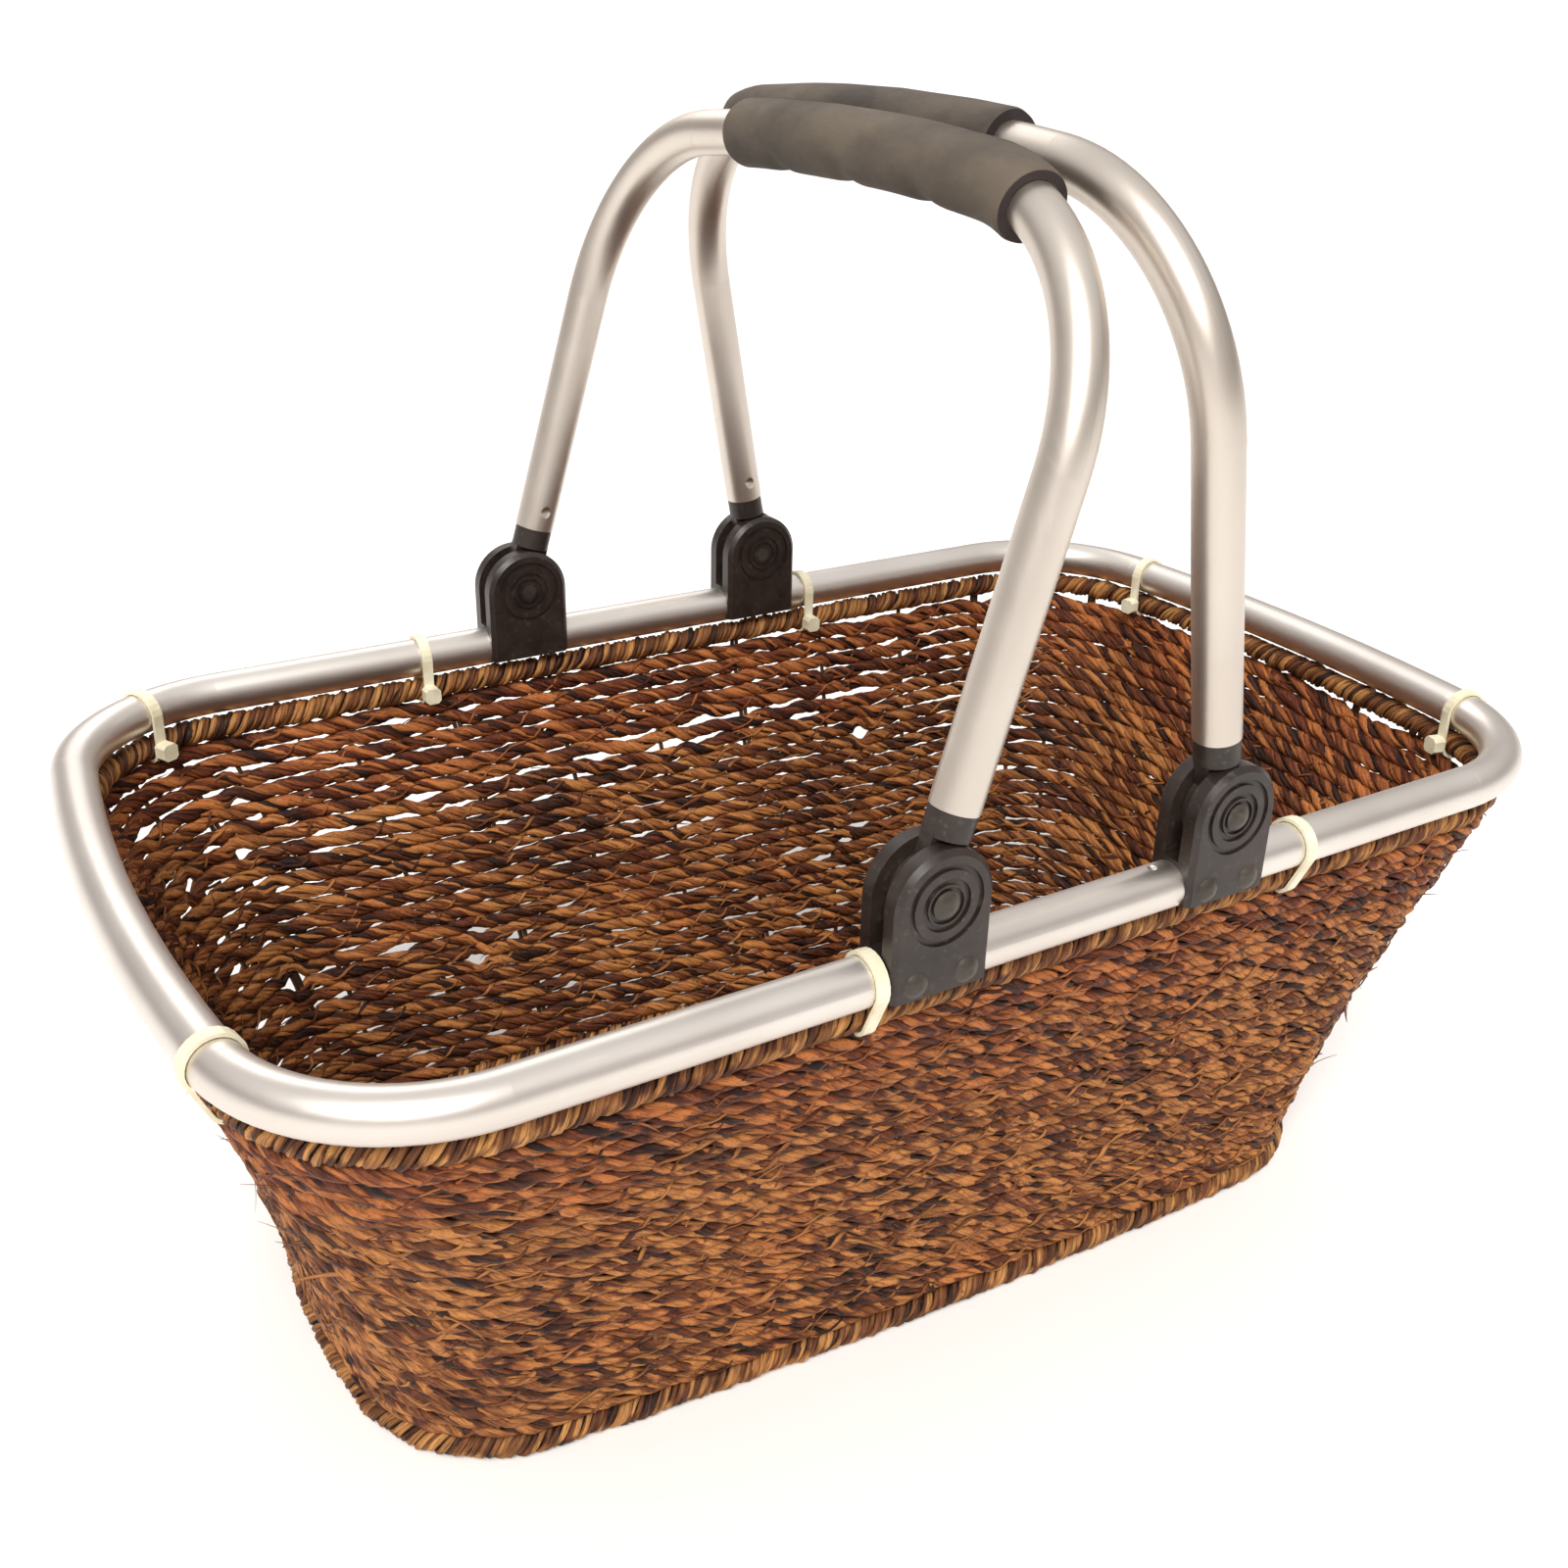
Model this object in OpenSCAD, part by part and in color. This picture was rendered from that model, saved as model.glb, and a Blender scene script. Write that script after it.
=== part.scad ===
// Shopping basket: woven seagrass body hung on an aluminium rim, with two folding handles.
// +X runs along the basket, +Y to the rear, +Z up. Millimetres. The basket stands on z = 0.

/* [Rim] */
// Overall length of the rim, over the tube
rim_length = 502; // [440:1:560]
// Overall width of the rim, over the tube
rim_width = 300; // [270:1:330]
// Height of the rim tube's centre line above the floor
rim_height = 184; // [160:1:240]
// Corner radius of the rim centre line
rim_corner_r = 59; // [45:1:75]
// Radius of the gentle bow at the rim's two short ends
rim_end_r = 690; // [500:10:1200]
// Outside diameter of the rim tube and the handle tubes
tube_d = 15; // [14:0.5:16]
// Wall thickness of both tubes
tube_wall = 1.2; // [1:0.1:1.6]

/* [Brackets] */
// Distance of each bracket from the middle of the long side
bracket_x = 54.7; // [48:0.1:70]
// Width of a bracket along the rim
bracket_w = 33; // [30:0.5:36]
// Thickness of a bracket across the rim
bracket_t = 18.4; // [18:0.2:22]
// Height of the pivot above the rim centre line
pivot_height = 22.9; // [22:0.1:30]
// Slot between the two ears
slot_w = 6; // [5:0.1:8]
// How far the foot reaches below the rim centre line
foot_drop = 4.8; // [4:0.1:6]
// Bevel around the bracket's two faces
bracket_bevel = 1.6; // [0.8:0.1:2.4]
// Distance of each rivet from the bracket's middle
rivet_x = 8.6; // [7:0.1:11]

/* [Handles] */
// Height of a handle from its pivot to the top of its centre line
handle_height = 188.4; // [170:0.1:210]
// Radius of the bend at each shoulder
shoulder_r = 67.8; // [55:0.1:80]
// Half angle of the shallow arc across the top
crown_angle = 5.1; // [3:0.1:8]
// Inward lean of the left handle at rest
left_lean = 16.5; // [14:0.1:20]
// Inward lean of the right handle at rest
right_lean = 10.4; // [8:0.1:10.4]

/* [Grips] */
// Outside diameter of the foam grips
grip_d = 22; // [19:0.5:22]
// Length of a grip across the handle
grip_length = 153; // [120:1:164]
// Sideways place of the left handle's grip
left_grip_shift = -24; // [-24:0.5:24]
// Sideways place of the right handle's grip
right_grip_shift = 18; // [-24:0.5:24]

/* [Basket body] */
// Length of the base, over its wrapped hoop
base_length = 408.6; // [360:0.2:430]
// Width of the base, over its wrapped hoop
base_width = 213.4; // [190:0.2:230]
// Corner radius of the base, over its wrapped hoop
base_corner_r = 57; // [45:1:65]
// Radius of the bow at the base's short ends
base_end_r = 260; // [220:5:400]
// Radius of the bow along the base's long sides
base_side_r = 2410; // [1600:10:4000]
// Turn of the hand-woven base under the rim
base_turn = -3.3; // [-4:0.1:4]
// Diameter of the wrapped top hoop
top_wrap_d = 9.4; // [8:0.1:10]
// Diameter of the wrapped base hoop
base_wrap_d = 9; // [8:0.1:10]
// Diameter of the wire inside both hoops
hoop_wire_d = 4; // [3:0.1:5]
// Thickness of the woven wall
weave_t = 6.4; // [6:0.1:7]
// Diameter of an upright stake
stake_d = 2; // [1.6:0.1:2.2]

/* [Cable ties] */
// Width of a tie's strap
tie_w = 4; // [3:0.1:4]
// Thickness of a tie's strap
tie_t = 1.2; // [1:0.1:1.4]

/* [Hidden] */
$fn = 64;
arc_fn = 240;

tube_r = tube_d / 2;
bore_d = tube_d - 2 * tube_wall;
rim_a = rim_length / 2 - tube_r;
rim_b = rim_width / 2 - tube_r;
pivot_z = rim_height + pivot_height;

// hinge hardware
ear_r = bracket_w / 2;
half_t = bracket_t / 2;
ear_t = (bracket_t - slot_w) / 2;
foot_bore_d = tube_d + 0.1;
slot_floor = tube_r + 1.2;
ring_cut = 0.9;
ring_line = 1.8;
ring_diameters = [25, 16.2, 11.4];
pin_d = 6;
pin_head_d = 9;
pin_head_h = 1.9;
pin_tail_d = 5.2;
pin_tail_h = 0.5;
ear_bore_d = pin_d + 0.04;
tang_bore_d = pin_d + 0.12;
tang_r = 12;
tang_t = slot_w - 0.6;
tang_w = 13.6;
collar_d = tube_d - 0.6;
collar_start = ear_r + 0.7;
leg_start = 25;
spigot_d = bore_d - 0.1;
spigot_end = 50;
dimple_r = 4;
dimple_depth = 0.8;
dimple_at = 33;
rivet_d = 3.6;
rivet_head_d = 8.4;
rivet_head_h = 1.9;
rivet_tail_d = 4.8;
rivet_tail_out = 5.6;
rivet_tail_in = 3.6;
joiner_id = 8.5;
joiner_length = 64;
joiner_dimple_at = 24;
seam = 0.3;

// joins between stretches of bent rod
join_gap = 0.1;
join_length = 1.2;
join_grow = 0.03;

// handle centre line, in its own plane with the pivot line at height zero
shoulder_turn = 90 - crown_angle;
crown_y = rim_b - shoulder_r * (1 - sin(crown_angle));
crown_r = crown_y / sin(crown_angle);
shoulder_z = handle_height - crown_r * (1 - cos(crown_angle)) - shoulder_r * cos(crown_angle);
grip_bore_d = tube_d + 0.2;

// hoops and wall
hoop_inset = 2.5;
hoop_drop = 12.6;
hoop_z = rim_height - hoop_drop;
wrap_bore_d = hoop_wire_d + 0.3;
top_a = rim_a - hoop_inset;
top_b = rim_b - hoop_inset;
top_corner = rim_corner_r - hoop_inset;
top_end = rim_end_r - hoop_inset;
base_r = base_wrap_d / 2;
base_a = base_length / 2 - base_r;
base_b = base_width / 2 - base_r;
base_corner = base_corner_r - base_r;
base_end = base_end_r - base_r;
base_side = base_side_r - base_r;
tie_play = 0.15;
tie_steps = 14;
tie_head = [5, 6.2, 6.4];
tie_head_cut = 1.2;
tie_head_sink = 0.4;
tie_head_at = top_wrap_d / 2 + tie_play + tie_t - tie_head_sink;
tie_floor = hoop_drop + top_wrap_d / 2 + tie_play + tie_t;
wall_bottom = base_wrap_d + 0.3;
wall_top = rim_height - tie_floor - 0.3;
wall_sag = 0.38;
wall_levels = [0, 0.2, 0.4, 0.6, 0.8, 1];
groove = 1.3;
groove_floor = 0.04;
stake_foot = 0.06;
base_weave_t = 6;
base_weave_gap = 0.4;
end_steps = 4;
corner_steps = 8;
side_steps = 8;
quarter_steps = end_steps + corner_steps + side_steps;
ring_steps = 4 * quarter_steps;

// ---------- outline family: bowed sides joined by round corners ----------

// Centre of the corner arc in the first quarter; side radius 0 means a straight long side
function corner_at(a, b, rc, re, rs) =
    rs == 0
    ? [a - re + sqrt(pow(re - rc, 2) - pow(b - rc, 2)), b - rc]
    : let(c1 = [a - re, 0],
          c2 = [0, b - rs],
          r1 = re - rc,
          r2 = rs - rc,
          d = norm(c2 - c1),
          u = (c2 - c1) / d,
          m = (r1 * r1 - r2 * r2 + d * d) / (2 * d),
          h = sqrt(r1 * r1 - m * m))
      c1 + m * u + h * [-u[1], u[0]];

// Angle where the end arc meets the corner, and where the corner meets the long side
function end_angle(a, b, rc, re, rs) =
    let(c = corner_at(a, b, rc, re, rs)) atan2(c[1], c[0] - a + re);
function side_angle(a, b, rc, re, rs) =
    rs == 0 ? 90 : let(c = corner_at(a, b, rc, re, rs)) atan2(c[1] - b + rs, c[0]);

// Point i of the first quarter, from the end's middle round to the long side's middle
function quarter_point(i, a, b, rc, re, rs) =
    let(c = corner_at(a, b, rc, re, rs),
        t1 = end_angle(a, b, rc, re, rs),
        t2 = side_angle(a, b, rc, re, rs),
        j = i - end_steps,
        k = j - corner_steps)
    i < end_steps
    ? [a - re + re * cos(t1 * i / end_steps), re * sin(t1 * i / end_steps)]
    : j < corner_steps
      ? let(t = t1 + (t2 - t1) * j / corner_steps) [c[0] + rc * cos(t), c[1] + rc * sin(t)]
      : rs == 0
        ? [c[0] * (1 - k / side_steps), b]
        : let(t = t2 + (90 - t2) * k / side_steps) [rs * cos(t), b - rs + rs * sin(t)];

function ring_point(i, a, b, rc, re, rs) =
    let(q = floor(i / quarter_steps),
        r = i - q * quarter_steps,
        p = quarter_point(q % 2 == 0 ? r : quarter_steps - r, a, b, rc, re, rs))
    [(q == 0 || q == 3) ? p[0] : -p[0], q < 2 ? p[1] : -p[1]];

function turned(p, t) = [p[0] * cos(t) - p[1] * sin(t), p[0] * sin(t) + p[1] * cos(t)];

function base_point(i, out) =
    turned(ring_point(i, base_a + out, base_b + out, base_corner + out,
                      base_end + out, base_side + out), base_turn);
function top_point(i, out) =
    ring_point(i, top_a + out, top_b + out, top_corner + out, top_end + out, 0);

// Point on the wall: i runs round the basket, s from the base (0) to the top (1)
function wall_point(i, s, out) =
    let(f = s - wall_sag * s * (1 - s),
        p = base_point(i, out) * (1 - f) + top_point(i, out) * f)
    [p[0], p[1], wall_bottom + (wall_top - wall_bottom) * s];

// Places of the ties on the rim's centre line: [x, y, direction that points out of the
// basket]. The two sides are given as -1 or 1, the angles are about the arc's own centre
function tie_on_corner(side_x, side_y, t) =
    let(c = corner_at(rim_a, rim_b, rim_corner_r, rim_end_r, 0))
    [side_x * (c[0] + rim_corner_r * cos(t)), side_y * (c[1] + rim_corner_r * sin(t)),
     atan2(side_y * sin(t), side_x * cos(t))];
function tie_on_end(side_x, side_y, t) =
    [side_x * (rim_a - rim_end_r + rim_end_r * cos(t)), side_y * rim_end_r * sin(t),
     atan2(side_y * sin(t), side_x * cos(t))];
function tie_on_side(x, side_y) = [x, side_y * rim_b, side_y * 90];
tie_places = [tie_on_corner(-1, -1, 10), tie_on_corner(-1, 1, 62), tie_on_end(1, 1, 7),
              tie_on_corner(1, -1, 13.8), tie_on_side(-98.7, 1), tie_on_side(80, 1),
              tie_on_side(-73.6, -1), tie_on_side(93, -1)];

// ---------- general shapes ----------

// Cross-section of a round tube, or of a solid rod where the bore is zero
module round_profile(d, bore) {
    difference() {
        circle(d = d);
        if (bore > 0)
            circle(d = bore);
    }
}

// Bent rod or tube in the XY plane, stopping a hair short at both ends for the joins
module arc_rod(centre, r, from, to, d, bore) {
    gap = join_gap / r * 180 / PI;
    translate([centre[0], centre[1], 0])
        rotate([0, 0, from + gap])
            rotate_extrude(angle = to - from - 2 * gap, $fn = arc_fn)
                translate([r, 0])
                    round_profile(d, bore);
}

// Straight rod or tube from the origin along +Z, stopping short in the same way
module straight_rod(length, d, bore) {
    translate([0, 0, join_gap])
        linear_extrude(length - 2 * join_gap)
            round_profile(d, bore);
}

// Short piece that makes two stretches of rod one, at angle t on an arc about the centre
module arc_join(centre, r, t, d, bore) {
    translate([centre[0] + r * cos(t), centre[1] + r * sin(t), 0])
        rotate([90, 0, t])
            linear_extrude(join_length, center = true)
                round_profile(d + 2 * join_grow, bore > 0 ? bore - 2 * join_grow : 0);
}

// One closed ring of rod or tube that follows an outline
module ring_rod(a, b, rc, re, rs, d, bore = 0) {
    c = corner_at(a, b, rc, re, rs);
    t1 = end_angle(a, b, rc, re, rs);
    t2 = side_angle(a, b, rc, re, rs);
    for (side = [0, 1]) {
        mirror([side, 0, 0])
            arc_rod([a - re, 0], re, -t1, t1, d, bore);
        for (end = [0, 1])
            mirror([side, 0, 0])
                mirror([0, end, 0]) {
                    arc_rod(c, rc, t1, t2, d, bore);
                    arc_join(c, rc, t1, d, bore);
                    arc_join(c, rc, t2, d, bore);
                }
        mirror([0, side, 0])
            if (rs == 0)
                translate([-c[0], b, 0])
                    rotate([90, 0, 90])
                        straight_rod(2 * c[0], d, bore);
            else
                arc_rod([0, b - rs], rs, t2, 180 - t2, d, bore);
    }
}

// ---------- rim ----------

module at_rivets() {
    for (sx = [-1, 1])
        for (sy = [-1, 1])
            for (dx = [-rivet_x, rivet_x])
                translate([sx * bracket_x + dx, sy * rim_b, rim_height])
                    rotate([sy > 0 ? -90 : 90, 0, 0])
                        children();
}

module rim_tube() {
    color([0.93, 0.91, 0.88])
        difference() {
            translate([0, 0, rim_height])
                ring_rod(rim_a, rim_b, rim_corner_r, rim_end_r, 0, tube_d, bore_d);
            at_rivets()
                translate([0, 0, tube_r - tube_wall - 1.5])
                    cylinder(d = rivet_d + 0.1, h = tube_wall + 3);
            // the seam where the bent tube's two ends meet
            translate([bracket_x - seam / 2, -rim_b - tube_d, rim_height - tube_d])
                cube([seam, 2 * tube_d, 2 * tube_d]);
            // crimp that holds the joiner
            translate([bracket_x - joiner_dimple_at, -rim_b, rim_height])
                translate([0, 0, tube_r + dimple_r / 2 - dimple_depth])
                    sphere(r = dimple_r / 2);
        }
}

module rim_joiner() {
    color([0.70, 0.70, 0.68])
        difference() {
            translate([bracket_x - joiner_length / 2, -rim_b, rim_height])
                rotate([0, 90, 0])
                    difference() {
                        cylinder(d = spigot_d, h = joiner_length);
                        translate([0, 0, -1])
                            cylinder(d = joiner_id, h = joiner_length + 2);
                    }
            at_rivets()
                translate([0, 0, rivet_tail_in - 0.5])
                    cylinder(d = rivet_tail_d + 0.4, h = tube_r);
        }
}

// ---------- brackets ----------

// Side view of a bracket: straight foot under a half-round top, about the pivot
module bracket_outline() {
    circle(r = ear_r);
    translate([-ear_r, -pivot_height - foot_drop])
        square([bracket_w, pivot_height + foot_drop]);
}

// Bevelled layer on one face, from full size at z = 0 down by the bevel
module bracket_bevel_layer() {
    cylinder(r1 = ear_r, r2 = ear_r - bracket_bevel, h = bracket_bevel);
    translate([0, -pivot_height - foot_drop, 0])
        rotate([-90, 0, 0])
            linear_extrude(pivot_height + foot_drop)
                polygon([[-ear_r, 0], [ear_r, 0], [ear_r - bracket_bevel, -bracket_bevel],
                         [-ear_r + bracket_bevel, -bracket_bevel]]);
}

module face_rings() {
    for (d = ring_diameters)
        difference() {
            cylinder(d = d, h = 2 * ring_cut, center = true);
            cylinder(d = d - 2 * ring_line, h = 3 * ring_cut, center = true);
        }
}

// A bracket about its pivot, with the outer face towards -Y
module bracket() {
    color([0.17, 0.16, 0.15])
        difference() {
            rotate([90, 0, 0])
                union() {
                    translate([0, 0, -half_t + bracket_bevel])
                        linear_extrude(bracket_t - 2 * bracket_bevel)
                            bracket_outline();
                    translate([0, 0, half_t - bracket_bevel])
                        bracket_bevel_layer();
                    translate([0, 0, -half_t + bracket_bevel])
                        mirror([0, 0, 1])
                            bracket_bevel_layer();
                }
            // slot for the handle's end fitting
            translate([-ear_r - 1, -slot_w / 2, slot_floor - pivot_height])
                cube([bracket_w + 2, slot_w, pivot_height + ear_r]);
            // seat for the rim tube
            translate([-ear_r - 1, 0, -pivot_height])
                rotate([0, 90, 0])
                    cylinder(d = foot_bore_d, h = bracket_w + 2);
            // pin bore through both ears
            rotate([90, 0, 0])
                cylinder(d = ear_bore_d, h = bracket_t + 2, center = true);
            for (face = [-1, 1])
                translate([0, face * half_t, 0])
                    rotate([90, 0, 0])
                        face_rings();
            for (dx = [-rivet_x, rivet_x])
                translate([dx, -half_t - 1, -pivot_height])
                    rotate([-90, 0, 0])
                        cylinder(d = rivet_d + 0.1, h = half_t);
        }
}

module bracket_front_left() {
    translate([-bracket_x, -rim_b, pivot_z])
        bracket();
}

module bracket_front_right() {
    translate([bracket_x, -rim_b, pivot_z])
        bracket();
}

module bracket_rear_left() {
    translate([-bracket_x, rim_b, pivot_z])
        rotate([0, 0, 180])
            bracket();
}

module bracket_rear_right() {
    translate([bracket_x, rim_b, pivot_z])
        rotate([0, 0, 180])
            bracket();
}

// Shallow round cap: a slice off a ball
module cap(d, h) {
    ball = (pow(d / 2, 2) + h * h) / (2 * h);
    intersection() {
        translate([0, 0, h - ball])
            sphere(r = ball, $fn = 96);
        cylinder(d = d, h = h + 1);
    }
}

module bracket_rivets() {
    color([0.15, 0.14, 0.13])
        at_rivets() {
            translate([0, 0, half_t])
                cap(rivet_head_d, rivet_head_h);
            translate([0, 0, rivet_tail_in])
                cylinder(d = rivet_d, h = half_t - rivet_tail_in);
            translate([0, 0, rivet_tail_in])
                cylinder(d = rivet_tail_d, h = rivet_tail_out - rivet_tail_in);
        }
}

module pivot_pins() {
    color([0.20, 0.19, 0.17])
        for (sx = [-1, 1])
            for (sy = [-1, 1])
                translate([sx * bracket_x, sy * rim_b, pivot_z])
                    rotate([sy > 0 ? -90 : 90, 0, 0]) {
                        cylinder(d = pin_d, h = bracket_t, center = true);
                        translate([0, 0, half_t])
                            cap(pin_head_d, pin_head_h);
                        translate([0, 0, -half_t])
                            mirror([0, 0, 1])
                                cylinder(d = pin_tail_d, h = pin_tail_h);
                    }
}

// ---------- handles ----------

// Puts a handle's own plane in place: side -1 is the left handle, 1 the right
module in_handle(side) {
    translate([side * bracket_x, 0, pivot_z])
        rotate([0, -side * (side < 0 ? left_lean : right_lean), 0])
            children();
}

// Disc and neck in the slot, collar, and spigot inside the leg
module end_fitting() {
    color([0.16, 0.15, 0.14])
        difference() {
            union() {
                rotate([90, 0, 0])
                    cylinder(r = tang_r, h = tang_t, center = true);
                translate([-tang_w / 2, -tang_t / 2, 0])
                    cube([tang_w, tang_t, collar_start + 1]);
                translate([0, 0, collar_start])
                    cylinder(d = collar_d, h = leg_start - collar_start - 0.05);
                translate([0, 0, collar_start + 1])
                    cylinder(d = spigot_d, h = spigot_end - collar_start - 1);
            }
            rotate([90, 0, 0])
                cylinder(d = tang_bore_d, h = tang_t + 2, center = true);
        }
}

module end_fitting_front_left() {
    in_handle(-1)
        translate([0, -rim_b, 0])
            end_fitting();
}

module end_fitting_rear_left() {
    in_handle(-1)
        translate([0, rim_b, 0])
            end_fitting();
}

module end_fitting_front_right() {
    in_handle(1)
        translate([0, -rim_b, 0])
            end_fitting();
}

module end_fitting_rear_right() {
    in_handle(1)
        translate([0, rim_b, 0])
            end_fitting();
}

// Stands a flat bend up in the handle's plane, with its angles counted from upright
module in_plane(y, z) {
    translate([0, y, z])
        rotate([90, 0, 90])
            rotate([0, 0, 90])
                children();
}

module crown_arc(from, to, d, bore) {
    in_plane(0, handle_height - crown_r)
        arc_rod([0, 0], crown_r, from, to, d, bore);
}

// Shoulder bend on the +Y side, from the end of the crown down to the given angle
module shoulder_arc(to, d, bore) {
    in_plane(rim_b - shoulder_r, shoulder_z) {
        arc_rod([0, 0], shoulder_r, -to, -crown_angle, d, bore);
        arc_join([0, 0], shoulder_r, -crown_angle, d, bore);
    }
}

module handle_tube() {
    color([0.94, 0.92, 0.89])
        difference() {
            union() {
                crown_arc(-crown_angle, crown_angle, tube_d, bore_d);
                for (end = [0, 1])
                    mirror([0, end, 0]) {
                        shoulder_arc(90, tube_d, bore_d);
                        in_plane(rim_b - shoulder_r, shoulder_z)
                            arc_join([0, 0], shoulder_r, -90, tube_d, bore_d);
                        translate([0, rim_b, leg_start])
                            straight_rod(shoulder_z - leg_start, tube_d, bore_d);
                    }
            }
            // crimps that hold the end fittings, on the inner side of each leg
            for (end = [-1, 1])
                translate([0, end * (rim_b - tube_r - dimple_r + dimple_depth), dimple_at])
                    sphere(r = dimple_r);
        }
}

module handle_tube_left() {
    in_handle(-1)
        handle_tube();
}

module handle_tube_right() {
    in_handle(1)
        handle_tube();
}

// Angle along the shoulder bend at which the centre line is at sideways distance y
function bend_angle(y) =
    y <= crown_y
    ? asin(y / crown_r)
    : asin((y - rim_b + shoulder_r) / shoulder_r);

module grip(shift) {
    reach = [grip_length / 2 - shift, grip_length / 2 + shift];
    angles = [bend_angle(reach[0]), bend_angle(reach[1])];
    color([0.24, 0.22, 0.20]) {
        crown_arc(-min(angles[1], crown_angle), min(angles[0], crown_angle), grip_d, grip_bore_d);
        for (end = [0, 1])
            if (angles[end] > crown_angle)
                mirror([0, 1 - end, 0])
                    shoulder_arc(angles[end], grip_d, grip_bore_d);
    }
}

module grip_left() {
    in_handle(-1)
        grip(left_grip_shift);
}

module grip_right() {
    in_handle(1)
        grip(right_grip_shift);
}

// ---------- cable ties ----------

// Outline of a strap around the rim tube and the wrapped hoop, grown by an amount: a round
// turn over the tube, a round turn under the hoop, and a straight run on either side
module tie_outline(grow) {
    drop = [-hoop_inset, -hoop_drop];
    r1 = tube_r + tie_play + grow;
    r2 = top_wrap_d / 2 + tie_play + grow;
    lean = atan2(drop[1], drop[0]);
    t = acos((r1 - r2) / norm(drop));
    over = 360 - 2 * t;
    r1_out = r1 / cos(over / tie_steps / 2);
    r2_out = r2 / cos(t / tie_steps);
    polygon(concat(
        [for (i = [0 : tie_steps - 1])
             let(a = lean + t + over * (i + 0.5) / tie_steps) r1_out * [cos(a), sin(a)]],
        [for (i = [0 : tie_steps - 1])
             let(a = lean - t + 2 * t * (i + 0.5) / tie_steps) drop + r2_out * [cos(a), sin(a)]]));
}

// Locking head, with its four long edges cut
module tie_head_outline() {
    w = tie_head[1] / 2;
    h = tie_head[2] / 2;
    polygon([[-w + tie_head_cut, -h], [w - tie_head_cut, -h], [w, -h + tie_head_cut],
             [w, h - tie_head_cut], [w - tie_head_cut, h], [-w + tie_head_cut, h],
             [-w, h - tie_head_cut], [-w, -h + tie_head_cut]]);
}

module tie() {
    rotate([90, 0, 0]) {
        linear_extrude(tie_w, center = true)
            difference() {
                tie_outline(tie_t);
                tie_outline(0);
            }
        // the head sits on the inner side, level with the hoop
        translate([-hoop_inset - tie_head_at - tie_head[0], -hoop_drop, 0])
            rotate([0, 90, 0])
                linear_extrude(tie_head[0])
                    tie_head_outline();
    }
}

module cable_ties() {
    color([0.95, 0.93, 0.80])
        for (p = tie_places)
            translate([p[0], p[1], rim_height])
                rotate([0, 0, p[2]])
                    tie();
}

// ---------- basket body ----------

module top_hoop() {
    color([0.35, 0.33, 0.30])
        translate([0, 0, hoop_z])
            ring_rod(top_a, top_b, top_corner, top_end, 0, hoop_wire_d);
}

module top_wrap() {
    color([0.50, 0.34, 0.18])
        translate([0, 0, hoop_z])
            ring_rod(top_a, top_b, top_corner, top_end, 0, top_wrap_d, wrap_bore_d);
}

module base_hoop() {
    color([0.35, 0.33, 0.30])
        translate([0, 0, base_r + join_grow])
            rotate([0, 0, base_turn])
                ring_rod(base_a, base_b, base_corner, base_end, base_side, hoop_wire_d);
}

module base_wrap() {
    color([0.45, 0.30, 0.16])
        translate([0, 0, base_r + join_grow])
            rotate([0, 0, base_turn])
                ring_rod(base_a, base_b, base_corner, base_end, base_side, base_wrap_d,
                         wrap_bore_d);
}

// The wall's section, as [offset from the middle, level]: two skins with a groove between
// them in which the stakes stand
wall_section = concat(
    [for (s = wall_levels) [weave_t / 2, s]],
    [for (n = [len(wall_levels) - 1 : -1 : 1]) [groove, wall_levels[n]]],
    [[groove, groove_floor], [-groove, groove_floor]],
    [for (n = [1 : len(wall_levels) - 1]) [-groove, wall_levels[n]]],
    [for (n = [len(wall_levels) - 1 : -1 : 0]) [-weave_t / 2, wall_levels[n]]]);

module wall_weave() {
    n = len(wall_section);
    points = [for (i = [0 : ring_steps - 1])
                  for (q = wall_section)
                      wall_point(i, q[1], q[0])];
    faces = [for (i = [0 : ring_steps - 1])
                 for (j = [0 : n - 1])
                     for (half = [0, 1])
                         let(a = i * n,
                             b = ((i + 1) % ring_steps) * n,
                             k = (j + 1) % n)
                         half == 0 ? [a + j, a + k, b + k] : [a + j, b + k, b + j]];
    color([0.47, 0.30, 0.16])
        polyhedron(points = points, faces = faces, convexity = 6);
}

// One stake, swept as a six-sided reed through the wall's own levels
module stake(i) {
    sides = 6;
    levels = concat([stake_foot], [for (n = [1 : len(wall_levels) - 1]) wall_levels[n]]);
    count = len(levels);
    points = [for (s = levels)
                  for (k = [0 : sides - 1])
                      wall_point(i, s, 0) + stake_d / 2 * [cos(60 * k), sin(60 * k), 0]];
    faces = concat(
        [for (n = [0 : count - 2])
             for (k = [0 : sides - 1])
                 for (half = [0, 1])
                     let(a = n * sides,
                         b = (n + 1) * sides,
                         m = (k + 1) % sides)
                     half == 0 ? [a + k, b + k, b + m] : [a + k, b + m, a + m]],
        [[for (k = [0 : sides - 1]) k]],
        [[for (k = [sides - 1 : -1 : 0]) (count - 1) * sides + k]]);
    polyhedron(points = points, faces = faces);
}

module stakes() {
    color([0.72, 0.55, 0.32])
        for (i = [0 : ring_steps - 1])
            if (i % 2 == 0)
                stake(i);
}

module base_weave() {
    out = -base_r - base_weave_gap;
    color([0.48, 0.31, 0.17])
        linear_extrude(base_weave_t)
            polygon([for (i = [0 : ring_steps - 1]) base_point(i, out)]);
}

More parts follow.
